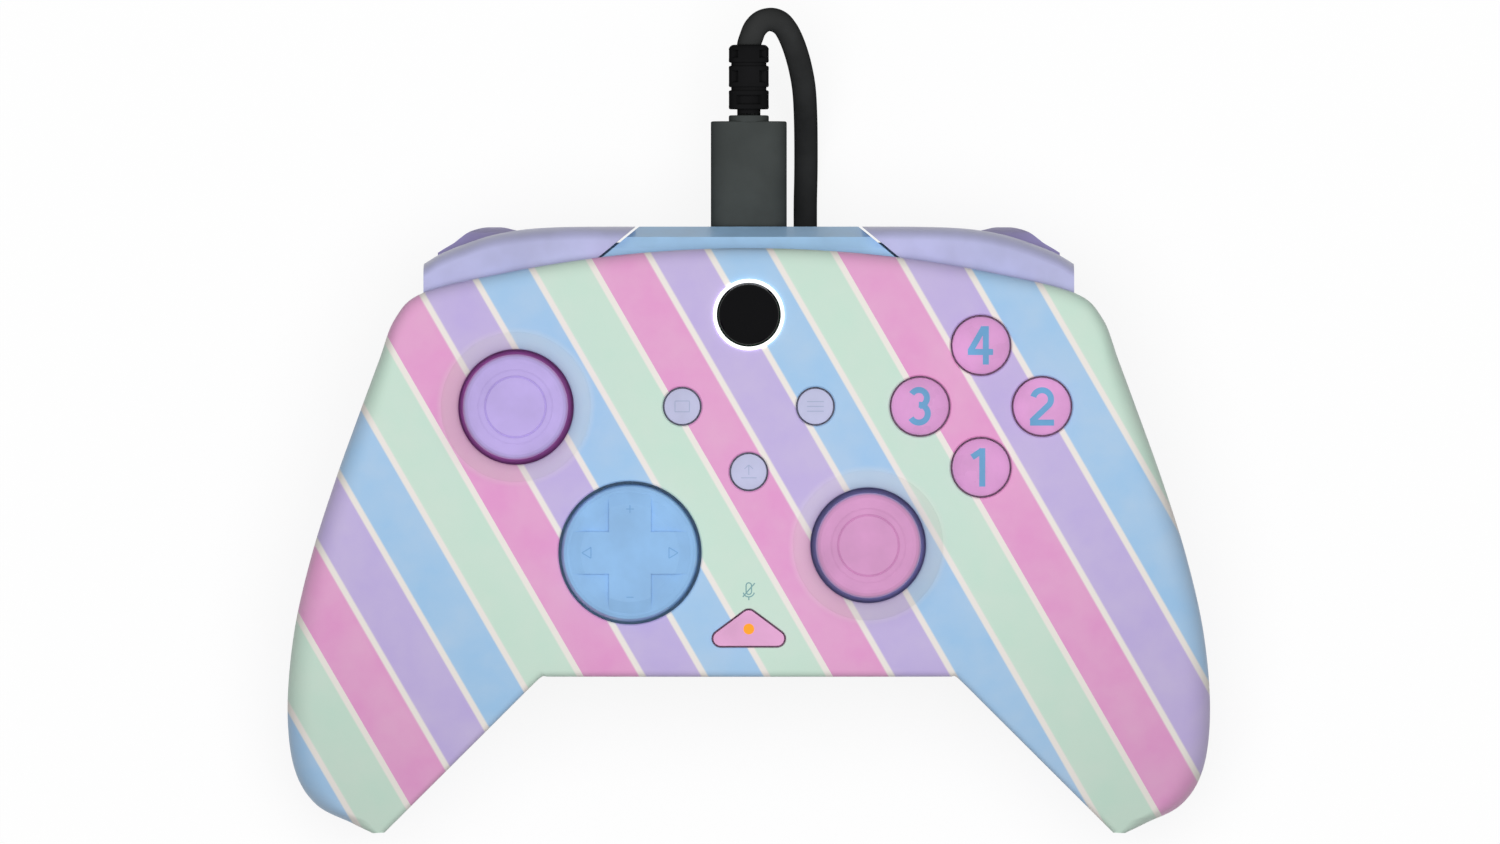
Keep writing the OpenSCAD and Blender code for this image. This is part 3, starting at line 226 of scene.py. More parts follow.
def plastic(name, slot, rgb, rough=0.4, grain=0.3, depth=0.006, drift=0.04, colour=None, **sockets):
    """Moulded plastic: tone that drifts, uneven gloss and a grain of this size and depth in millimetres."""
    finish, tree, surface, place = new_finish(name, slot)
    cloud = add(tree, "TexNoise", Vector=place, Scale=140.0, Detail=3.0).outputs["Fac"]
    if colour is None:
        colour = ramp(tree, cloud, [(0.3, tint(rgb, 1 - drift)), (0.7, tint(rgb, 1 + drift))])
    else:
        colour = colour(tree, place, cloud)
    tree.links.new(colour, surface.inputs["Base Color"])
    tree.links.new(spread(tree, cloud, 0.3, 0.7, rough - 0.05, rough + 0.05), surface.inputs["Roughness"])
    pits = add(tree, "TexNoise", Vector=place, Scale=1000.0 / grain, Detail=2.0).outputs["Fac"]
    bump = add(tree, "Bump", Strength=0.6, Distance=depth * MM, Height=pits)
    tree.links.new(bump.outputs["Normal"], surface.inputs["Normal"])
    for key, value in sockets.items():
        surface.inputs[key.replace("_", " ")].default_value = value
    return finish


def metal(name, slot, rgb, rough, lay=0.2):
    """Drawn or pressed metal: fine lines along one way."""
    finish, tree, surface, place = new_finish(name, slot)
    drawn = add(tree, "Mapping", Vector=place, Scale=(1 / (lay * MM), 1 / (lay * MM), 60.0)).outputs[0]
    lines = add(tree, "TexNoise", Vector=drawn, Scale=1.0, Detail=3.0).outputs["Fac"]
    tone = ramp(tree, lines, [(0.3, tint(rgb, 0.9)), (0.7, tint(rgb, 1.06))])
    tree.links.new(tone, surface.inputs["Base Color"])
    tree.links.new(spread(tree, lines, 0.3, 0.7, rough - 0.08, rough + 0.08), surface.inputs["Roughness"])
    surface.inputs["Metallic"].default_value = 1.0
    return finish


# %% Finishes of the cord
cord_black = plastic("cord_black", "cord_black", (54, 55, 55), rough=0.5, grain=0.5, depth=0.004, drift=0.1,
                     Specular_IOR_Level=0.0)
relief_black = plastic("relief_black", "cord_black", (28, 28, 29), rough=0.5, grain=0.3, depth=0.008, drift=0.1,
                       Specular_IOR_Level=0.0)
plug_black = plastic("plug_black", "plug_black", (69, 73, 72), rough=0.5, grain=0.25, depth=0.012, drift=0.05,
                     Specular_IOR_Level=0.0)
strap_black = plastic("strap_black", "tie_black", (30, 30, 32), rough=0.9, grain=0.35, depth=0.08, drift=0.25,
                      Specular_IOR_Level=0.1)
steel = metal("steel", "steel", (196, 197, 199), 0.32)

# %% [markdown]
# ## The cord
# The photograph shows the cord leave its plug, loop over and go back under the pad. Such pads have about
# 2.4 metres of cord, so the rest is wound into a coil under the belly, where the pad hides it, and ends in
# its plug. One curve with a round bevel is the honest way to make it: the length can be measured on it.

# %% Route of the cord, in millimetres
CORD = 4.0
PLUG_HEIGHT, RELIEF_END = 28.65, 81.0
COIL_MIDDLE = np.array([0.0, 10.0])
COIL_LIFT, COIL_RADIUS, COIL_PITCH = 1.0, 31.3, 4.45
LEAD_ANGLE, TAIL_ANGLE, TURNS, LAYERS = 55.0, 270.0, 15, 4
COIL_SPAN = TURNS + ((LEAD_ANGLE - TAIL_ANGLE + 360) % 360) / 360
LAYER_TURNS = COIL_SPAN / LAYERS


def coil_point(t):
    """Point of the coil after t turns: it spirals in and out, and climbs where the spiral turns back."""
    layer = min(LAYERS - 1, math.floor(t / LAYER_TURNS))
    u = t - layer * LAYER_TURNS
    inward = u if layer % 2 == 0 else LAYER_TURNS - u
    radius = COIL_RADIUS - COIL_PITCH * inward
    angle = math.radians(LEAD_ANGLE - 360 * t)
    near = round(t / LAYER_TURNS)
    off = t - near * LAYER_TURNS
    climbs = 0 < near < LAYERS and abs(off) < 0.25
    level = near - 1 + ease(2 * off + 0.5) if climbs else layer
    return np.array([COIL_MIDDLE[0] + radius * math.cos(angle), COIL_MIDDLE[1] + radius * math.sin(angle),
                     COIL_LIFT + CORD / 2 + COIL_PITCH * level])


def heading(angle):
    return np.array([math.sin(math.radians(angle)), -math.cos(math.radians(angle)), 0])


coil_start = coil_point(0) - CORD * heading(LEAD_ANGLE)
coil_end = coil_point(COIL_SPAN) + CORD * heading(TAIL_ANGLE)
inside_relief = [(0, RELIEF_END - back, PLUG_HEIGHT) for back in (3, 1.5)]
lead_route = [(0, RELIEF_END, PLUG_HEIGHT), (0.4, 82.4, 28.6), (1.05, 83.95, 28.4), (2.15, 85.05, 28.1),
              (3.55, 85.45, 27.7), (4.95, 85.1, 27.1), (6.05, 84.1, 26.3), (7.05, 82.3, 25),
              (7.95, 79.9, 23.2), (8.7, 77.1, 20.8), (9.25, 73.9, 17.8), (9.5, 70, 13.8), (9.6, 65.4, 9),
              (9.6, 60, 4.8), (9.5, 54, 2.5), (9.6, 48, 2.2), (10.2, 44.2, 2.6), (11.9, 40.7, 2.8), coil_start]
tail_route = [coil_end, (-10, -21.3, 16.3), (-18, -21, 14.4), (-26, -19.6, 10.6), (-33, -16.4, 7),
              (-38.5, -11.2, 4.9), (-41.4, -5.6, 4.1), (-42, -1, 4)]
STEPS = 60
coil_route = [coil_point(i / STEPS) for i in range(int(COIL_SPAN * STEPS) + 1)] + [coil_point(COIL_SPAN)]
cord_points = finer(inside_relief + lead_route, 8) + coil_route + finer(tail_route, 8)
reach = sum(np.linalg.norm(b - a) for a, b in zip(cord_points, cord_points[1:]))
print("cord", round(reach), "mm on", len(cord_points), "points")

# %% Draw the cord
line = bpy.data.curves.new("cord", "CURVE")
line.dimensions = "3D"
line.bevel_depth = CORD / 2 * MM
line.bevel_resolution = 5
line.use_fill_caps = True
strand = line.splines.new("POLY")
strand.points.add(len(cord_points) - 1)
for point, place in zip(strand.points, cord_points):
    point.co = (*(place * MM), 1.0)
strand.use_smooth = True
cord = bpy.data.objects.new("cord", line)
scene.collection.objects.link(cord)
dress(cord, "body", cord_black, "cord_lead", "cord_coil", "cord_tail")

# %% [markdown]
# ## The plugs, the strain relief and the strap
# The overmould at the pad is a flat oval bar with a soft end. The sleeve behind it is rubber in three cells,
# cut open so that it bends: the first cell is open above and below, the others have four small windows each.
# The coil is held by a hook strap, a flat band that goes round all the turns and laps over itself.


# %% Solids through rings of points
def band(i, j, m):
    """Faces between ring i and ring j, of m points each."""
    return [(i * m + k, i * m + (k + 1) % m, j * m + (k + 1) % m, j * m + k) for k in range(m)]


def sweep(name, path, section, up=(0.0, 0.0, 1.0), ring=False, sharp=35):
    """Solid along a path. section(i) gives the outline at point i, as (sideways, upward) in millimetres."""
    count = len(path)
    points, faces = [], []
    for i, here in enumerate(path):
        before = path[i - 1] if i > 0 or ring else path[0]
        after = path[(i + 1) % count] if i < count - 1 or ring else path[-1]
        ahead = np.array(after) - np.array(before)
        ahead = ahead / np.linalg.norm(ahead)
        side = np.cross(ahead, np.array(up))
        side = side / np.linalg.norm(side)
        top = np.cross(side, ahead)
        outline = section(i)
        points += [np.array(here) + a * side + b * top for a, b in outline]
    m = len(outline)
    for i in range(count if ring else count - 1):
        faces += band(i, (i + 1) % count, m)
    if not ring:
        faces += [list(range(m))[::-1], list(range((count - 1) * m, count * m))]
    return mesh_object(name, points, faces, sharp)


def stack(name, rings):
    """Closed solid through rings of equal count, from the lowest up."""
    m = len(rings[0])
    points = [p for ring in rings for p in ring]
    faces = [list(range(m))[::-1], list(range((len(rings) - 1) * m, len(rings) * m))]
    for i in range(len(rings) - 1):
        faces += band(i, i + 1, m)
    return mesh_object(name, points, faces)


def circle(radius, sides=32):
    return [(radius * math.cos(2 * math.pi * k / sides), radius * math.sin(2 * math.pi * k / sides))
            for k in range(sides)]


def oblong(wide, high, corner, each=4):
    """Outline of a rectangle with round corners."""
    out = []
    for cx, cy, start in ((1, 1, 0), (-1, 1, 90), (-1, -1, 180), (1, -1, 270)):
        for k in range(each + 1):
            a = math.radians(start + 90 * k / each)
            out.append((cx * (wide / 2 - corner) + corner * math.cos(a),
                        cy * (high / 2 - corner) + corner * math.sin(a)))
    return out


def join(name, parts):
    """One object of several meshes."""
    work = bmesh.new()
    for part in parts:
        work.from_mesh(part.data)
    mesh = bpy.data.meshes.new(name)
    work.to_mesh(mesh)
    work.free()
    for part in parts:
        bpy.data.objects.remove(part)
    piece = bpy.data.objects.new(name, mesh)
    scene.collection.objects.link(piece)
    return piece


# %% Plug at the pad
def turned(name, profile, sides=64, at=(0.0, PLUG_HEIGHT)):
    """Turned piece on a line along Y through (x, z); the profile gives (radius, y)."""
    return stack(name, [[(at[0] + a, y, at[1] + b) for a, b in circle(r, sides)] for r, y in profile])


def oval_bar(name, wide, high, corner, stations, at=(0.0, PLUG_HEIGHT)):
    """Bar along Y with round corners; the stations give (y, inset)."""
    return stack(name, [[(at[0] + a, y, at[1] + b)
                         for a, b in oblong(wide - 2 * inset, high - 2 * inset, corner - inset, 12)]
                        for y, inset in stations])


plug = join("plug_overmould", [
    oval_bar("bar", 12.7, 6.6, 3.29,
             [(48.4, 0.2), (48.6, 0), (68.1, 0), (68.25, 0.04), (68.36, 0.15), (68.4, 0.3)]),
    turned("neck", [(1.95, 68.2), (1.95, 69.7)]),
    turned("collar", [(3.35, 68.3), (3.35, 69.15), (3.28, 69.33), (3.1, 69.4)])])
shade(plug, 40)
dress(plug, "body", plug_black, "usb_plug")
tongue = oval_bar("plug_shell", 8.1, 2.4, 1.19, [(41.4, 0.15), (41.6, 0), (48.6, 0)])
dress(tongue, "body", steel, "usb_plug")

# %% Strain relief
RELIEF = 3.35


def sector(start, end, outer, inner=2.0, each=12):
    """Outline of a piece of a ring, between two angles."""
    turn = [math.radians(mix(start, end, i / each)) for i in range(each + 1)]
    return [(outer * math.cos(a), outer * math.sin(a)) for a in turn] + [
        (inner * math.cos(a), inner * math.sin(a)) for a in reversed(turn)]


def relief_cell(begin, end, bars, last=0.3):
    """Two soft discs and the bars between them, each from one angle to another."""
    made = []
    for low, high, soft in ((begin, begin + 0.9, 0.3), (end - 0.9, end, last)):
        turn = [math.radians(15 * k) for k in range(7)]
        rim = [(RELIEF - 0.3 + 0.3 * math.sin(a), low + 0.3 - 0.3 * math.cos(a)) for a in turn]
        rim += [(RELIEF - soft + soft * math.cos(a), high - soft + soft * math.sin(a)) for a in turn]
        made.append(turned("disc", rim))
    for start, stop in bars:
        bar = sector(start, stop, RELIEF - 0.02)
        made.append(stack("bar", [[(a, y, PLUG_HEIGHT + b) for a, b in bar] for y in (begin + 0.6, end - 0.6)]))
    return made


AT_SIDES = ((-50, 50), (130, 230))
FOUR_BARS = ((-30, 30), (58, 122), (150, 210), (238, 302))
relief = join("strain_relief_cells", [
    turned("neck", [(1.95, 69.3), (1.95, 70.6)]), turned("core", [(2.45, 70.5), (2.45, RELIEF_END - 0.1)]),
    turned("link", [(2.95, 73.2), (2.95, 74.5)]), turned("link", [(2.95, 77.3), (2.95, 78.6)]),
    *relief_cell(70.4, 73.6, AT_SIDES), *relief_cell(74.1, 77.7, FOUR_BARS),
    *relief_cell(78.2, RELIEF_END + 0.2, FOUR_BARS, 0.85)])
shade(relief, 40)
dress(relief, "body", relief_black, "strain_relief")

# %% Plug at the far end
FAR = (-42.0, 4.0)
grip = join("far_plug_grip", [
    turned("sleeve", [(2.5, -1), (3.2, 5.2)], 48, FAR),
    oval_bar("grip", 15.6, 7.8, 2.2, [(5, 0.8), (5.15, 0.4), (5.5, 0.1), (6, 0), (23, 0), (23.5, 0.1),
                                      (23.85, 0.4), (24, 0.8)], FAR)])
shade(grip, 40)
dress(grip, "body", plug_black, "far_plug")
shell = oval_bar("far_plug_shell", 12, 4.5, 0.6, [(23.8, 0), (35.9, 0), (36, 0.1)], FAR)
carve(shell, oval_bar("tool", 11.2, 3.7, 0.3, [(26, 0), (38, 0)], FAR))
shade(shell, 40)
dress(shell, "body", steel, "far_plug")
bed = oval_bar("far_plug_bed", 11, 1.8, 0.2, [(25.5, 0), (35.2, 0)], (FAR[0], FAR[1] + 0.85))
dress(bed, "body", plug_black, "far_plug")
print("plugs made")

# %% Hook strap round the coil
STRAP_WIDE, STRAP_THICK = 8.0, 0.7
STRAP_IN, STRAP_OUT, STRAP_TOP = 11.17, 33.7, 18.75
loop = oblong(STRAP_OUT - STRAP_IN + STRAP_THICK, STRAP_TOP, 2.2, 6)
strap_path = [np.array([(STRAP_IN + STRAP_OUT) / 2 + a, COIL_MIDDLE[1], STRAP_TOP / 2 + STRAP_THICK / 2 + b])
              for a, b in loop]
edge = oblong(STRAP_WIDE, STRAP_THICK, 0.3, 3)
strap = sweep("hook_strap", strap_path, lambda i: [(b, a) for a, b in edge], up=(0, 1, 0), ring=True)
lap_line = [np.array([x, COIL_MIDDLE[1], STRAP_TOP + 1.05]) for x in np.linspace(16, 30, 8)]
lap = sweep("lap", lap_line, lambda i: edge)
strap = join("hook_strap", [strap, lap])
shade(strap, 30)
dress(strap, "body", strap_black, "coil_tie")
print("strap made")

# %% [markdown]
# ## The plan of the housing
# The housing is drawn by two lines: the outer line runs round the shoulders and the backs of the grips, the
# inner line along the heel and the insides of the grips. Both have points at the same stations, so at each
# station a section can be hung between them. Heights come from one gentle crown that falls along the grips.

# %% Lines and heights of the housing, in millimetres
HALF, SHOULDER, TOP_Y, TOP_R = 77.2, 54.2, 47.1, 202.189
HEEL_Y, CROTCH, TIP_Y, WALL = 24.4, 34.7, 50.75, 2.2
FACE_Z, PART_Z, BELLY_Z = 46.6, 31.0, 20.6
CROWN, BROW_DROP, GRIP_DROP, PART_DROP = 0.0006, 1.2, 19, 13
LAST = 15


def top_edge(x):
    return TOP_Y - TOP_R + math.sqrt(TOP_R**2 - x * x)


inner_tip = np.array([HALF - 16.2, 0.1 - TIP_Y])
crotch = np.array([CROTCH, -HEEL_Y])
outer_half = [np.array([f * SHOULDER, top_edge(f * SHOULDER)]) for f in (0, 0.25, 0.5, 0.75, 1)]
outer_half += [np.array([HALF - a, b]) for a, b in (
    (18.2, 35.4), (15.5, 28.4), (11.8, 18.4), (8.2, 8.4), (4.2, -4.1), (1.2, -17), (0, -30),
    (1.1, 10.75 - TIP_Y), (4.7, 4.75 - TIP_Y), (10.7, 1.65 - TIP_Y), (14.2, -TIP_Y))]
inner_half = [np.array([f * CROTCH, -HEEL_Y]) for f in (0, 0.26, 0.5, 0.7, 0.84, 0.9, 0.94, 0.97, 0.995)]
inner_half += [mix(crotch, inner_tip, f) for f in (0.05, 0.18, 0.43, 0.7, 0.87, 0.96, 1)]
outer_line = [p * (-1, 1) for p in outer_half[:0:-1]] + outer_half
inner_line = [p * (-1, 1) for p in inner_half[:0:-1]] + inner_half


def rim(line, s, inset, side):
    ahead = along(line, min(2 * LAST, s + 0.05)) - along(line, max(0, s - 0.05))
    ahead = ahead / np.linalg.norm(ahead)
    return along(line, s) + inset * side * np.array([-ahead[1], ahead[0]])


def grip_run(x, y):
    """How far along a grip a point is: 0 on the body, about 1 at the tip."""
    return max(0.0, ((abs(x) - 45) * 0.37 + (12 - y) * 0.93) / 64)


def face_at(x, y):
    """Height of the face."""
    return FACE_Z - CROWN * x * x - BROW_DROP * max(0.0, (y - 36) / 11) ** 2 - GRIP_DROP * grip_run(x, y) ** 2


def part_at(x, y):
    """Height of the parting line."""
    return PART_Z - PART_DROP * grip_run(x, y) ** 2


def quarter(d, r):
    """Drop of a rounded edge at this distance from the rim."""
    return 0.0 if d >= r else r - math.sqrt(max(0.0, r * r - (r - d) ** 2))


def fan(r, count):
    """Distances from a rim that follow a quarter round evenly."""
    return [r * (1 - math.cos(math.pi / 2 * i / count)) for i in range(count + 1)]


def spaced(length, near, middle, far):
    """Distances across a section: close together at both rims, even between them."""
    k = min(1.0, 0.45 * length / max(near[-1], far[-1]))
    a, b = k * near[-1], length - k * far[-1]
    return ([k * d for d in near] + [mix(a, b, i / (middle + 1)) for i in range(1, middle + 1)]
            + [length - k * d for d in reversed(far)])


print("plan of", len(outer_line), "stations")

# %% [markdown]
# ## The two mouldings
# Each half is a skin outside, a skin inside and the rims that join them, so it is a true thin-walled
# moulding. The skins are meshed densely enough that the crown and the rounded edges shade smoothly.

# %% Sections and skins
SUB = 8
BROW_ROUND, GRIP_ROUND, HEEL_ROUND, BELLY_ROUND = 2.4, 4.2, 1.2, 14.0
TIP_STOP = 0.32 * WALL


def station(i, inset):
    s = i / SUB
    return mix(TIP_STOP, 2 * LAST - TIP_STOP, s / (2 * LAST)) if inset > 0 else s


def rims(s, inset):
    a, b = rim(inner_line, s, inset, 1), rim(outer_line, s, inset, -1)
    return a, b, np.linalg.norm(b - a)


def front_section(i, inset):
    s = station(i, inset)
    a, b, length = rims(s, inset)
    k = abs(s - LAST)
    r = min(length / 2, max(0.6, mix(BROW_ROUND, GRIP_ROUND, ease((k - 4) / 3)) - inset))
    h = min(length / 2, max(0.4, HEEL_ROUND - inset))
    out = [(*a, part_at(*a))]
    for d in spaced(length, fan(HEEL_ROUND, 5), 26, fan(GRIP_ROUND, 8)):
        p = mix(a, b, d / length)
        out.append((*p, face_at(*p) - inset - quarter(d, h) - quarter(length - d, r)))
    return out + [(*b, part_at(*b))]


def plateau(k, v):
    """Height of the underside: the belly is high and the grips hang down."""
    grips = ease((k - 5) / 6.5) * mix(ease(v / 0.75), 1, ease((k - 8) / 3))
    return BELLY_Z * (1 - grips) + 9 * ease((k - 12) / 3)


def rear_section(i, inset):
    s = station(i, inset)
    a, b, length = rims(s, inset)
    out = []
    for d in spaced(length, fan(BELLY_ROUND, 9), 14, fan(BELLY_ROUND, 9)):
        v = d / length
        p = mix(a, b, v)
        top = part_at(*p) - 0.2
        e = min(1.0, min(v, 1 - v) * length / min(BELLY_ROUND, 0.5 * length))
        low = min(plateau(abs(s - LAST), v) + inset, top - 3)
        out.append((*p, mix(top, low, math.sqrt(max(0.0, 1 - (1 - e) ** 2)))))
    return out


def thin_wall(name, outside, inside):
    """Closed wall between two skins of equal grids."""
    rows, width = len(outside), len(outside[0])
    points = [p for section in outside for p in section] + [p for section in inside for p in section]
    shift = rows * width
    faces = []
    for i in range(rows - 1):
        for k in range(width - 1):
            a, b = i * width + k, (i + 1) * width + k
            faces += [(a, a + 1, b + 1, b), (a + shift, b + shift, b + 1 + shift, a + 1 + shift)]
        for k in (0, width - 1):
            a, b = i * width + k, (i + 1) * width + k
            faces.append((a, b, b + shift, a + shift))
    for i in (0, rows - 1):
        near, far = i * width, (i + 1) * width - 1
        faces += [list(range(near, far + 1)), [k + shift for k in range(near, far + 1)]]
        faces.append((near, far, far + shift, near + shift))
    return mesh_object(name, points, faces)


ROWS = range(2 * LAST * SUB + 1)
front = thin_wall("front_moulding", [front_section(i, 0) for i in ROWS], [front_section(i, WALL) for i in ROWS])
rear = thin_wall("rear_moulding", [rear_section(i, 0) for i in ROWS], [rear_section(i, WALL) for i in ROWS])
print("front", len(front.data.polygons), "rear", len(rear.data.polygons), "faces")

# %% [markdown]
# ## The openings
# The holes of the face are cut with tools that follow its height, each with a small chamfer where it meets
# the surface, because a moulded hole never has a razor edge. The front edge is cut back under its lip for
# the bridge and the bumpers; the rear half is open for the triggers, the socket, the jack and the screws.

# %% Where things stand on the face, in millimetres
def around(middle, radius, angle):
    """Point at this distance and angle, in degrees, from a middle."""
    a = math.radians(angle)
    return middle[0] + radius * math.cos(a), middle[1] + radius * math.sin(a)


STICKS = {"left": (-38.807, 20.6), "right": (19.9, -2.45)}
DPAD = (-19.8, -3.7)
CLUSTER, CLUSTER_R = (38.7, 20.7), 10.17
BUTTONS = {name: around(CLUSTER, CLUSTER_R, a)
           for name, a in (("east", 0), ("north", 90), ("west", 180), ("south", 270))}
SMALL = {"view": (-11.1, 20.7), "menu": (11.1, 20.7), "share": (0.0, 9.8)}
HOME = (0.0, 36.0)
FUNCTION_Y = -19.5
STICK_HOLE, DPAD_HOLE, HOME_HOLE, BUTTON_HOLE, SMALL_HOLE = 9.65, 11.95, 5.95, 5.075, 3.25


def triangle(extra):
    """Outline of the function button: a flat triangle with round corners."""
    r, bx, h = 1.5 + extra, 4.7, 3.5
    a = math.degrees(math.atan2(bx, h))
    corners = (((bx, 1.5), -90, a), ((0, 1.5 + h), a, 180 - a), ((-bx, 1.5), 180 - a, 270))
    out = [np.array(around((cx, cy + FUNCTION_Y), r, mix(start, end, i / 8)))
           for (cx, cy), start, end in corners for i in range(9)]
    return [mix(a, b, i / 6) for a, b in zip(out, out[1:] + out[:1]) for i in range(6)]


# %% Cutting tools
TOOL_LOW, TOOL_HIGH, TOOL_RISE = 33.0, 60.0, 0.4
JACK_Z, JACK_R = 30, 3.3


def face_tool(outline, soft=0.22):
    """Tool for a hole in the face; outline(extra) is its edge, wider by extra."""
    low, rise = outline(0), outline(soft + TOOL_RISE)
    return stack("tool", [[(x, y, TOOL_LOW) for x, y in low],
                          [(x, y, face_at(x, y) - soft) for x, y in low],
                          [(x, y, face_at(x, y) + TOOL_RISE) for x, y in rise],
                          [(x, y, TOOL_HIGH) for x, y in rise]])


def round_tool(at, radius):
    return face_tool(lambda extra: [(at[0] + a, at[1] + b) for a, b in circle(radius + extra, 96)])


def prism(outline, low, high):
    return stack("tool", [[(x, y, low) for x, y in outline], [(x, y, high) for x, y in outline]])


def rod(at, radius, low, high):
    return prism([(at[0] + a, at[1] + b) for a, b in circle(radius, 48)], low, high)


def brow_tool(half, low, high):
    """Room under the front lip."""
    xs = np.linspace(-half, half, 81)
    return prism([(x, top_edge(x) - 3.2) for x in xs] + [(half, 60.0), (-half, 60.0)], low, high)


def jack_tool():
    return stack("tool", [[(a, y, JACK_Z + b) for a, b in circle(JACK_R, 48)] for y in (-28.0, -20.0)])


# %% Cut the front half
ROUND_HOLES = [("hole_lilac", STICKS["left"], STICK_HOLE), ("hole_slate", STICKS["right"], STICK_HOLE),
               ("hole_blue", DPAD, DPAD_HOLE), ("hole_plum", HOME, HOME_HOLE)]
ROUND_HOLES += [("hole_plum", at, BUTTON_HOLE) for at in BUTTONS.values()]
ROUND_HOLES += [("hole_plum", at, SMALL_HOLE) for at in SMALL.values()]
tools = [round_tool(at, radius) for name, at, radius in ROUND_HOLES]
tools += [face_tool(triangle, 0.12), brow_tool(55, 29, 41), jack_tool()]
carve(front, join("tools", tools))
shade(front, 32)
WALLS = ROUND_HOLES + [("hole_plum", (0, FUNCTION_Y + 2.8), 6.6)]


def wall_of(polygon):
    """Name of the finish of a hole's wall, which carries no print and is darkened with painted shade, or nothing.
    """
    x, y, z = polygon.center / MM
    if z < face_at(x, y) - 0.12:
        for name, at, radius in WALLS:
            if math.hypot(x - at[0], y - at[1]) < radius + 0.3:
                return name


# %% Collars round the sticks
COLLAR = [(9.62, -0.6), (9.62, 0.25), (9.75, 0.42), (10, 0.5), (11, 0.5), (11.5, 0.42), (12, 0.24),
          (12.4, 0.07), (12.7, -0.1)]


def collar(side, steps=120):
    """Low ring that follows the height of the face."""
    (x, y), m = STICKS[side], len(COLLAR)
    turn = [(math.cos(2 * math.pi * i / steps), math.sin(2 * math.pi * i / steps)) for i in range(steps)]
    points = [(x + r * a, y + r * b, face_at(x + r * a, y + r * b) + h) for a, b in turn for r, h in COLLAR]
    faces = [face for i in range(steps) for face in band(i, (i + 1) % steps, m)]
    return mesh_object("stick_collar_" + side, points, faces, 50)


collars = [collar(side) for side in STICKS]

# %% Cut the rear half
SCREWS = ((0, 0.3, 27.6), (6.5, 0.83, 27.6), (-6.5, 0.83, 27.6), (10.8, 0.58, 20.0), (-10.8, 0.58, 20.0))
posts, wells = [], []
for s, v, meet in SCREWS:
    a, b, length = rims(LAST + s, 0)
    p = mix(a, b, v)
    posts.append(rod(p, 3.0, plateau(abs(s), v) + 1.4, meet))
    wells.append(rod(p, 2.35, -1, meet - 3.2))
carve(rear, join("posts", posts), "UNION")
tools = wells + [brow_tool(18.6, 24.3, 33), jack_tool()]
BAY = [(35.7, 34.1), (54.5, 34.1), (54.5, 56), (35.7, 56)]
tools += [prism([(s * x, y) for x, y in BAY], -1, 33) for s in (1, -1)]
socket = oblong(9.6, 3.9, 1.94, 8)
tools.append(stack("tool", [[(a, y, PLUG_HEIGHT + b) for a, b in socket] for y in (38.0, 43.6)]))
carve(rear, join("tools", tools))
shade(rear, 32)
print("cut: front", len(front.data.polygons), "rear", len(rear.data.polygons), "faces")

# %% [markdown]
# ## Bumpers and triggers
# A bumper is a thin cap whose front edge sweeps back to the shoulder, so it is hung on that edge section by
# section. A trigger is one side view pushed through and trimmed by its plan, then hollowed between its cheeks;
# a bevel breaks the edges that a finger would feel.

# %% Bumpers
FALL = [(0, 0), (0.23, 0.02), (0.4, 0.15), (0.54, 0.55), (0.68, 1.45), (0.81, 2.95), (0.92, 4.55), (1, 6.25)]
BUMPER_IN, BUMPER_OUT, FRONT_Y = 18.9, 54.3, 50.75
BUMPER_TOP, BUMPER_WALL, BUMPER_STEPS = 40.6, 2, 70
HINGE, HINGE_HOLE = (29.5, 46.2), 1.25
bumper_line = [np.array([mix(BUMPER_IN, BUMPER_OUT, a), FRONT_Y - b]) for a, b in FALL]


def bumper_section(side, i, inset):
    s = mix(0.12 * inset, 7 - 0.35 * inset, i / BUMPER_STEPS)
    x, y = along(bumper_line, s)
    back = top_edge(x) - 1.4 + 0.2 * ease((31 - x) / 3)
    shear = 1.2 * max(0.0, 1 - s / 2)
    edge, top = y - inset, BUMPER_TOP - inset
    d = min(2.4, edge - back - 0.8)
    turn = [math.radians(90 - 6 * k) for k in range(16)]
    nose = [(edge - d + d * math.cos(a), top - 6 + 6 * math.sin(a)) for a in turn]
    return [(side * (x + shear * (y - b)), b, c) for b, c in [(back, top)] + nose + [(edge, 32.5)]]


def soften(piece, width, sharp=40):
    """Break the sharp edges with a small round."""
    step = piece.modifiers.new("soft_edges", "BEVEL")
    step.width, step.segments = width * MM, 3
    step.limit_method, step.angle_limit = "ANGLE", math.radians(sharp)
    step.harden_normals = True
    return piece


def bumper(name, side):
    steps = range(BUMPER_STEPS + 1)
    cap = thin_wall(name, *[[bumper_section(side, i, inset) for i in steps] for inset in (0, BUMPER_WALL)])
    boss = rod((side * HINGE[0], HINGE[1]), 2.4, 33, 39.4)
    carve(boss, rod((side * HINGE[0], HINGE[1]), HINGE_HOLE, 30, 39))
    rib = prism([(side * 46 + a, b) for a, b in ((-2, 43.2), (2, 43.2), (2, 44.6), (-2, 44.6))], 37, 39.4)
    piece = join(name, [cap, boss, rib])
    shade(piece, 40)
    return soften(piece, 0.2)


bumpers = {name: bumper(name + "_cap", side) for name, side in (("bumper_left", -1), ("bumper_right", 1))}

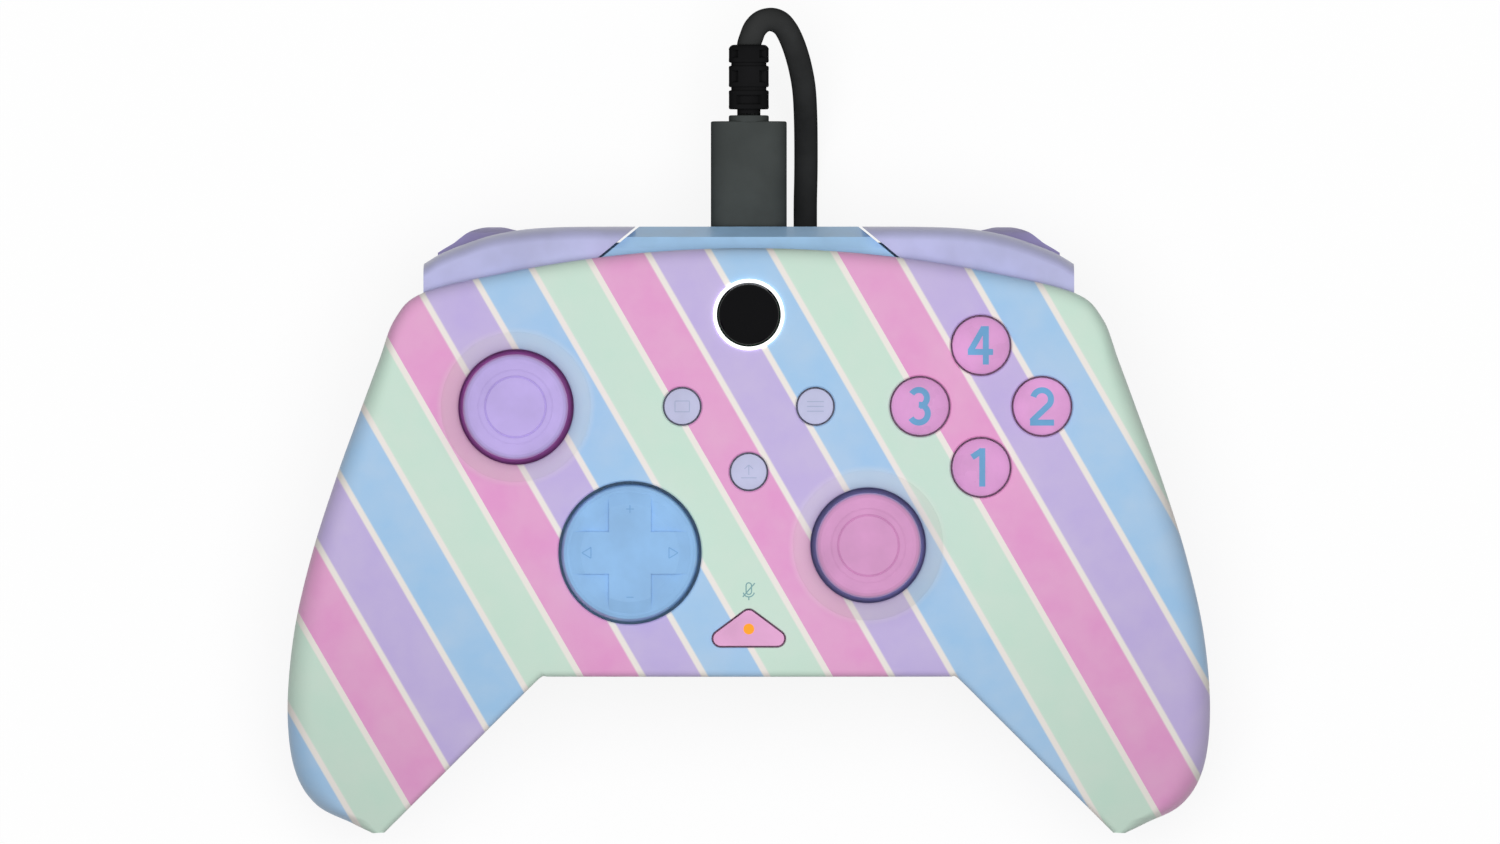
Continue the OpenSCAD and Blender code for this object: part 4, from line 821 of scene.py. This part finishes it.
# %% Triggers
FINGER = [(40, 33), (43.5, 31), (47.4, 29.8), (49.7, 28), (50.7, 24.5), (50.2, 18.5), (48.9, 12), (48.7, 7),
          (49.6, 3.4), (50, 1.6), (49, 0.2)]
INSIDE = [(46.6, 0), (45.2, 1.6), (44.7, 6), (44.8, 12), (45.2, 19), (44.4, 24.6), (41.4, 28)]
HOLLOW = [(40, 31), (45, 29), (47.4, 27), (48.4, 24), (47.8, 18), (46.9, 12), (44, 12), (40, 24)]
HUMP = [(12.5, 0.45), (11, 0.1), (9.1, 0), (7.2, 0.2), (5.2, 0.85), (3.7, 1.9), (2.7, 2.7), (1.1, 3.65),
        (0, 4.35)]
AXLE, AXLE_HOLE, HUB = (37.0, 32.0), 1.25, 2.6
TRIGGER_NEAR, TRIGGER_FAR = 36, 52
HOLLOW_NEAR, HOLLOW_FAR = 37.8, 48


def side_view(outline, near, far):
    return stack("side_view", [[(x, y, z) for y, z in outline] for x in (near, far)])


def axle(radius, steps=48):
    return [(AXLE[0] + a, AXLE[1] + b) for a, b in circle(radius, steps)]


def trigger(name, side):
    turn = [math.radians(270 - 9 * k) for k in range(21)]
    outline = [(AXLE[0] + HUB * math.cos(a), AXLE[1] + HUB * math.sin(a)) for a in turn]
    outline += [tuple(q) for q in finer(FINGER, 6)] + [tuple(q) for q in finer(INSIDE, 6)]
    piece = side_view(outline, side * TRIGGER_NEAR, side * TRIGGER_FAR)
    near, far = TRIGGER_NEAR - 1, TRIGGER_FAR + 1
    hump = [(TRIGGER_FAR - a, FRONT_Y - b) for a, b in finer(HUMP, 5)]
    plan = [(near, 30), (near, 49.25)] + hump + [(far, 45.75), (far, 30)]
    carve(piece, prism([(side * x, y) for x, y in plan], -1, 39), "INTERSECT")
    carve(piece, side_view(HOLLOW, side * HOLLOW_NEAR, side * HOLLOW_FAR))
    carve(piece, side_view(axle(AXLE_HOLE), side * near, side * far))
    piece.name = name
    shade(piece, 40)
    return soften(piece, 0.35)


triggers = {name: trigger(name + "_lever", side) for name, side in (("trigger_left", -1), ("trigger_right", 1))}
print("bumpers and triggers made")

# %% [markdown]
# ## The printed face
# The face carries a printed film over plain plastic, so it is all colour and no relief. It could be an image,
# but stripes are only arithmetic: the distance across the slant, divided by the repeat, says which stripe a point
# is in. Four plain pastels take turns, with a thin cream line after each. Round the collars of the sticks the
# print is made paler, and that paler blend is a painted highlight, not print.

# %% Stripes across the face, in millimetres
TONES = {"pink": (228, 156, 206), "lilac": (192, 176, 226), "sky": (160, 200, 236), "mint": (200, 228, 212)}
CREAM = (240, 234, 228)
ACROSS = (866.0, 500.0, 0.0)
PITCH, THIN, BLUR = 9.0, 1.0, 0.1
REPEAT = PITCH * len(TONES)


def stripes(tree, place, cloud):
    """Colour of the print, with a painted highlight round the sticks."""
    across = add(tree, "VectorMath", {"operation": "DOT_PRODUCT"}, i0=place, i1=ACROSS).outputs["Value"]
    turns = add(tree, "Math", {"operation": "DIVIDE"}, i0=across, i1=REPEAT).outputs[0]
    where = add(tree, "Math", {"operation": "FRACT"}, i0=turns).outputs[0]
    stops = []
    for k, tone in enumerate(TONES.values()):
        start, end = k * PITCH, (k + 1) * PITCH
        stops += [(start + BLUR, tone), (end - THIN - BLUR, tone), (end - THIN + BLUR, CREAM), (end - BLUR, CREAM)]
    colour = ramp(tree, where, [(at / REPEAT, tone) for at, tone in stops])
    colour = blend_colour(tree, spread(tree, cloud, 0.3, 0.7, 0.0, 0.15), colour, linear(CREAM))
    # Painted highlight: near each stick the print is blended towards cream to stand for light on the collar.
    for x, y in STICKS.values():
        middle = (x * MM, y * MM, face_at(x, y) * MM)
        apart = add(tree, "VectorMath", {"operation": "DISTANCE"}, i0=place, i1=middle).outputs["Value"]
        near = spread(tree, apart, 0.0134, 0.0122, 0.0, 0.26)
        colour = blend_colour(tree, near, colour, linear(CREAM))
    return colour


face_print = plastic("face_print", "face_print", None, rough=0.42, grain=0.2, depth=0.002, colour=stripes)

# %% [markdown]
# ## The other finishes
# The moving parts are dyed to match the print. The caps of the sticks have a darker skirt, which shows as a
# ring in the hole. That is one moulding with two looks, so its finish changes with the height and with the
# distance from the middle of the cap's top. The walls of the holes carry no print; their plain finishes are
# darkened with painted shade for the gaps round the parts.


# %% Two looks on one part
CAP_TOP = 1000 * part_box("stick_cap_left")[1][2]
CAP_EDGE, SKIRT_EDGE = (0.009, 0.0084), (0.0522, 0.0535)


def stick_look(side, skirt, cap):
    """Colour of a stick's moulding: one on top of the cap, another at its edge and on the skirt below."""
    def colour(tree, place, cloud):
        a = ramp(tree, cloud, [(0.3, tint(skirt, 0.96)), (0.7, tint(skirt, 1.04))])
        b = ramp(tree, cloud, [(0.3, tint(cap, 0.96)), (0.7, tint(cap, 1.04))])
        middle = (STICKS[side][0] * MM, STICKS[side][1] * MM, CAP_TOP * MM)
        apart = add(tree, "VectorMath", {"operation": "DISTANCE"}, i0=place, i1=middle).outputs["Value"]
        height = add(tree, "SeparateXYZ", Vector=place).outputs["Z"]
        top = add(tree, "Math", {"operation": "MULTIPLY"}, i0=spread(tree, apart, *CAP_EDGE, 0.0, 1.0),
                  i1=spread(tree, height, *SKIRT_EDGE, 0.0, 1.0)).outputs[0]
        return blend_colour(tree, top, a, b)
    return colour


# %% Finishes by part
LOOKS = {
    "bridge_blue": dict(rgb=(166, 206, 242), rough=0.38, depth=0.002, Coat_Weight=0.1),
    "bumper_lavender": dict(rgb=(182, 183, 222), rough=0.36, depth=0.002, Coat_Weight=0.1),
    "trigger_lavender": dict(rgb=(160, 151, 202), rough=0.45, depth=0.012),
    "rear_lavender": dict(rgb=(172, 162, 208), rough=0.5, grain=0.4, depth=0.03),
    "button_pink": dict(rgb=(224, 158, 214), rough=0.3, depth=0.001, drift=0.05, Coat_Weight=0.2),
    "home_black": dict(rgb=(5, 5, 7), rough=0.12, depth=0.0005, drift=0.1, Specular_IOR_Level=0.08),
    "ring_white": dict(rgb=(250, 250, 250), rough=0.3, depth=0.001, drift=0.01,
                       Emission_Color=linear((255, 255, 255)), Emission_Strength=0.6),
    "small_lilac": dict(rgb=(194, 196, 226), rough=0.4, depth=0.004),
    "function_pink": dict(rgb=(226, 168, 209), rough=0.38, depth=0.003),
    "light_orange": dict(rgb=(250, 152, 14), rough=0.3, depth=0.001, drift=0.02,
                         Emission_Color=linear((255, 150, 15)), Emission_Strength=0.2),
    "dpad_blue": dict(rgb=(142, 186, 230), rough=0.36, depth=0.002, Coat_Weight=0.1),
    "stick_lilac": dict(rgb=None, rough=0.42, grain=0.25, depth=0.004,
                        colour=stick_look("left", (198, 116, 200), (188, 170, 228))),
    "stick_pink": dict(rgb=None, rough=0.42, grain=0.25, depth=0.004,
                       colour=stick_look("right", (166, 162, 222), (211, 151, 197))),
    "board_green": dict(rgb=(40, 108, 70), rough=0.35, depth=0.01, drift=0.12),
    "black_plastic": dict(rgb=(34, 34, 36), rough=0.45, depth=0.01, drift=0.1),
    "grey_plastic": dict(rgb=(116, 117, 121), rough=0.5, depth=0.01),
    "white_plastic": dict(rgb=(226, 226, 224), rough=0.4, depth=0.006),
    "membrane_rubber": dict(rgb=(222, 222, 220), rough=0.7, depth=0.01),
}
finishes = {name: plastic(name, name, **look) for name, look in LOOKS.items()}
finishes["steel"] = steel
finishes["weight_brass"] = metal("weight_brass", "weight_brass", (205, 172, 104), 0.4)
# Plain wall colours, darkened with painted shade: they stand for the shade deep in the gaps round the sticks, the
# D-pad and the buttons.
SHADED_HOLE_WALLS = {"hole_lilac": (160, 92, 164), "hole_slate": (140, 140, 204), "hole_blue": (70, 136, 206),
              "hole_plum": (48, 24, 46)}
for name, rgb in SHADED_HOLE_WALLS.items():
    finishes[name] = plastic(name, "face_print", rgb, rough=0.5, depth=0.006, Specular_IOR_Level=0.1)
ink_blue = plastic("ink_blue", "button_pink", (106, 164, 210), rough=0.35, depth=0.001, drift=0.06)
ink_grey = plastic("ink_grey", "face_print", (124, 166, 168), rough=0.4, depth=0.001)
ink_faint = plastic("ink_faint", "small_lilac", (168, 178, 206), rough=0.4, depth=0.001)
ink_dpad = plastic("ink_dpad", "dpad_blue", (118, 166, 212), rough=0.36, depth=0.001)
print("finishes of parts", len(finishes))

# %% [markdown]
# ## Marks
# The marks are printed ink, a few hundredths of a millimetre thick. Each stroke is a narrow band laid on the
# surface below it, so it follows the dome of a button and moves with it. The four buttons carry plain numbers.


# %% Strokes of ink
INK_STEP, INK_LAYER = 0.15, 0.012
BUTTON_DOME, SMALL_DOME = (4.775, 1, 1), (2.95, 0.5, 0.3)


def inked(name, strokes, width, height, lift=0.03):
    """Bands along the strokes, on a surface whose height is a function of x and y."""
    made = []
    for layer, stroke in enumerate(strokes):
        stroke = np.array(stroke, float)
        gone = np.concatenate([[0], np.cumsum(np.linalg.norm(np.diff(stroke, axis=0), axis=1))])
        steps = np.linspace(0, gone[-1], max(3, int(gone[-1] / INK_STEP)))
        path = np.stack([np.interp(steps, gone, stroke[:, k]) for k in (0, 1)], axis=1)
        ahead = np.gradient(path, axis=0)
        ahead /= np.linalg.norm(ahead, axis=1)[:, None]
        rings = []
        for q, (tx, ty) in zip(path, ahead):
            top = [(q[0] - ty * d, q[1] + tx * d) for d in np.linspace(-width / 2, width / 2, 5)]
            rings.append([(x, y, height(x, y) + lift + INK_LAYER * layer) for x, y in top]
                         + [(x, y, height(x, y) - 0.1) for x, y in reversed(top)])
        made.append(stack("stroke", rings))
    return join(name, made)


def bow(cx, cy, r, start, end, steps=24):
    return [around((cx, cy), r, mix(start, end, i / steps)) for i in range(steps + 1)]


def moved(strokes, at):
    return [[(x + at[0], y + at[1]) for x, y in stroke] for stroke in strokes]


def dome(at, radius, rise, crown):
    """Height of a button's dome."""
    base = face_at(*at) + rise
    return lambda x, y: base + crown * math.sqrt(max(0.0, 1 - ((x - at[0])**2 + (y - at[1])**2) / radius**2))


# %% Numbers on the face buttons
NUMBERS = {
    "south": [[(0.2, 3.2), (0.2, -3.2)], [(-1.5, 1.7), (0.2, 2.85)]],
    "east": [bow(0, 1.2, 1.5, 165, -38) + [(-1.75, -2.5)], [(-2, -2.7), (2, -2.7)]],
    "west": [bow(-0.2, 1.4, 1.35, 150, -85), bow(-0.2, -1.2, 1.5, 90, -150)],
    "north": [[(0.8, 3.2), (0.8, -3.2)], [(0.5, 3), (-1.75, -0.9)], [(-2.2, -1.1), (2, -1.1)]]}
for name, at in BUTTONS.items():
    mark = inked("number_" + name, moved(NUMBERS[name], at), 1.0, dome(at, *BUTTON_DOME))
    dress(mark, "button_" + name, ink_blue)

# %% Faint marks on the small buttons, the D-pad and the face
SIGNS = {"view": [[(-1.2, -0.9), (1.2, -0.9), (1.2, 0.9), (-1.2, 0.9), (-1.2, -0.9)]],
         "menu": [[(-1.4, y), (1.4, y)] for y in (0.8, 0, -0.8)],
         "share": [[(-1.3, -1), (1.3, -1)], [(0, -0.5), (0, 1.1)], [(-0.7, 0.5), (0, 1.15), (0.7, 0.5)]]}
for name, at in SMALL.items():
    mark = inked("mark_" + name, moved(SIGNS[name], at), 0.14, dome(at, *SMALL_DOME))
    dress(mark, name + "_button", ink_faint)

DPAD_TOP = face_at(*DPAD) + 2
signs = [[(-0.65, 7.3), (0.65, 7.3)], [(0, 6.65), (0, 7.95)], [(-0.6, -7.4), (0.6, -7.4)]]
signs += [[(s * 6.5, 0.9), (s * 8, 0), (s * 6.5, -0.9), (s * 6.5, 0.9)] for s in (1, -1)]
mark = inked("mark_dpad", moved(signs, DPAD), 0.16,
             lambda x, y: DPAD_TOP - 0.4 * max(0.0, 1 - math.hypot(x - DPAD[0], y - DPAD[1]) / 8.2))
dress(mark, "dpad", ink_dpad)

capsule = bow(0, 0.95, 0.45, 0, 180) + bow(0, -0.1, 0.45, 180, 360) + [(0.45, 0.95)]
signs = [capsule, bow(0, 0, 0.95, 195, 345), [(0, -0.95), (0, -1.5)], [(-1, -0.95), (1, 1.35)]]
mark = inked("mark_microphone", moved(signs, (0, -10.1)), 0.2, face_at, 0.02)
dress(mark, "body", ink_grey)
print("marks made")

# %% Dress the mouldings and the solids that stay
dress(front, "body", face_print, "front_shell")
# The walls of the holes get their plain finishes, which carry painted shade.
walls = list(SHADED_HOLE_WALLS)
for name in walls:
    front.data.materials.append(finishes[name])
for polygon in front.data.polygons:
    name = wall_of(polygon)
    polygon.material_index = 1 + walls.index(name) if name else 0
dress(rear, "body", finishes["rear_lavender"], "rear_shell")
for piece in collars:
    dress(piece, "body", face_print)
for name, piece in bumpers.items():
    dress(piece, name, finishes["bumper_lavender"], name)
for name, piece in triggers.items():
    dress(piece, name, finishes["trigger_lavender"], name)
by_slot = {sub["node"]: sub["material_slot"] for sub in frame["record"]["subparts"]}
for name, solid in nodes.items():
    if not solid.hide_render:
        solid.data.materials.clear()
        solid.data.materials.append(finishes[by_slot[name]])
print("dressed", len(nodes), "solids")

# %% [markdown]
# ## Light and floor
# The photograph is a product shot on pure white. One large soft box overhead lights the face evenly and leaves
# the edges a little darker; the room fills the rest. For the lens, and for what glossy parts mirror, the floor
# and the room are white, and the floor keeps a faint shadow.


# %% Floor and room
def seen(tree):
    """One for rays from the lens, from a mirror and through glass, and zero for light itself."""
    path, either = add(tree, "LightPath").outputs, {"operation": "MAXIMUM"}
    first = add(tree, "Math", either, i0=path["Is Camera Ray"], i1=path["Is Glossy Ray"]).outputs[0]
    return add(tree, "Math", either, i0=first, i1=path["Is Transmission Ray"]).outputs[0]


FLOOR_HALF, FLOOR_Z = 3.0, -0.0004
BOUNCE, PAPER, GLOW, GLOW_SHARE, FILL = 0.28, 0.92, 1.03, 0.84, 0.22
floor = bpy.data.objects.new("floor", bpy.data.meshes.new("floor"))
corners = [(FLOOR_HALF * a, FLOOR_HALF * b, FLOOR_Z) for a, b in ((-1, -1), (1, -1), (1, 1), (-1, 1))]
floor.data.from_pydata(corners, [], [(0, 1, 2, 3)])
scene.collection.objects.link(floor)
paper = bpy.data.materials.new("floor_paper")
paper.use_nodes = True
tree = paper.node_tree
surface = tree.nodes["Principled BSDF"]
shown = seen(tree)
tree.links.new(spread(tree, shown, 0.0, 1.0, BOUNCE, PAPER), surface.inputs["Base Color"])
surface.inputs["Roughness"].default_value = 0.9
surface.inputs["Specular IOR Level"].default_value = 0.1
white = add(tree, "Emission", Color=(1, 1, 1, 1), Strength=GLOW).outputs[0]
share = spread(tree, shown, 0.0, 1.0, 0.0, GLOW_SHARE)
both = add(tree, "MixShader", i0=share, i1=surface.outputs[0], i2=white).outputs[0]
tree.links.new(both, tree.nodes["Material Output"].inputs["Surface"])
floor.data.materials.append(paper)

room = bpy.data.worlds.new("white_room")
room.use_nodes = True
scene.world = room
tree = room.node_tree
tree.nodes["Background"].inputs["Color"].default_value = (1, 1, 1, 1)
tree.links.new(spread(tree, seen(tree), 0.0, 1.0, FILL, 1.0), tree.nodes["Background"].inputs["Strength"])

# %% Soft box overhead
data = bpy.data.lights.new("soft_box", "AREA")
data.shape, data.size, data.energy = "DISK", 0.8, 7.7
lamp = bpy.data.objects.new("soft_box", data)
lamp.location = (0.0, 0.05, 1.0)
lamp.visible_camera = False
lamp.visible_glossy = False
scene.collection.objects.link(lamp)
print("lit")
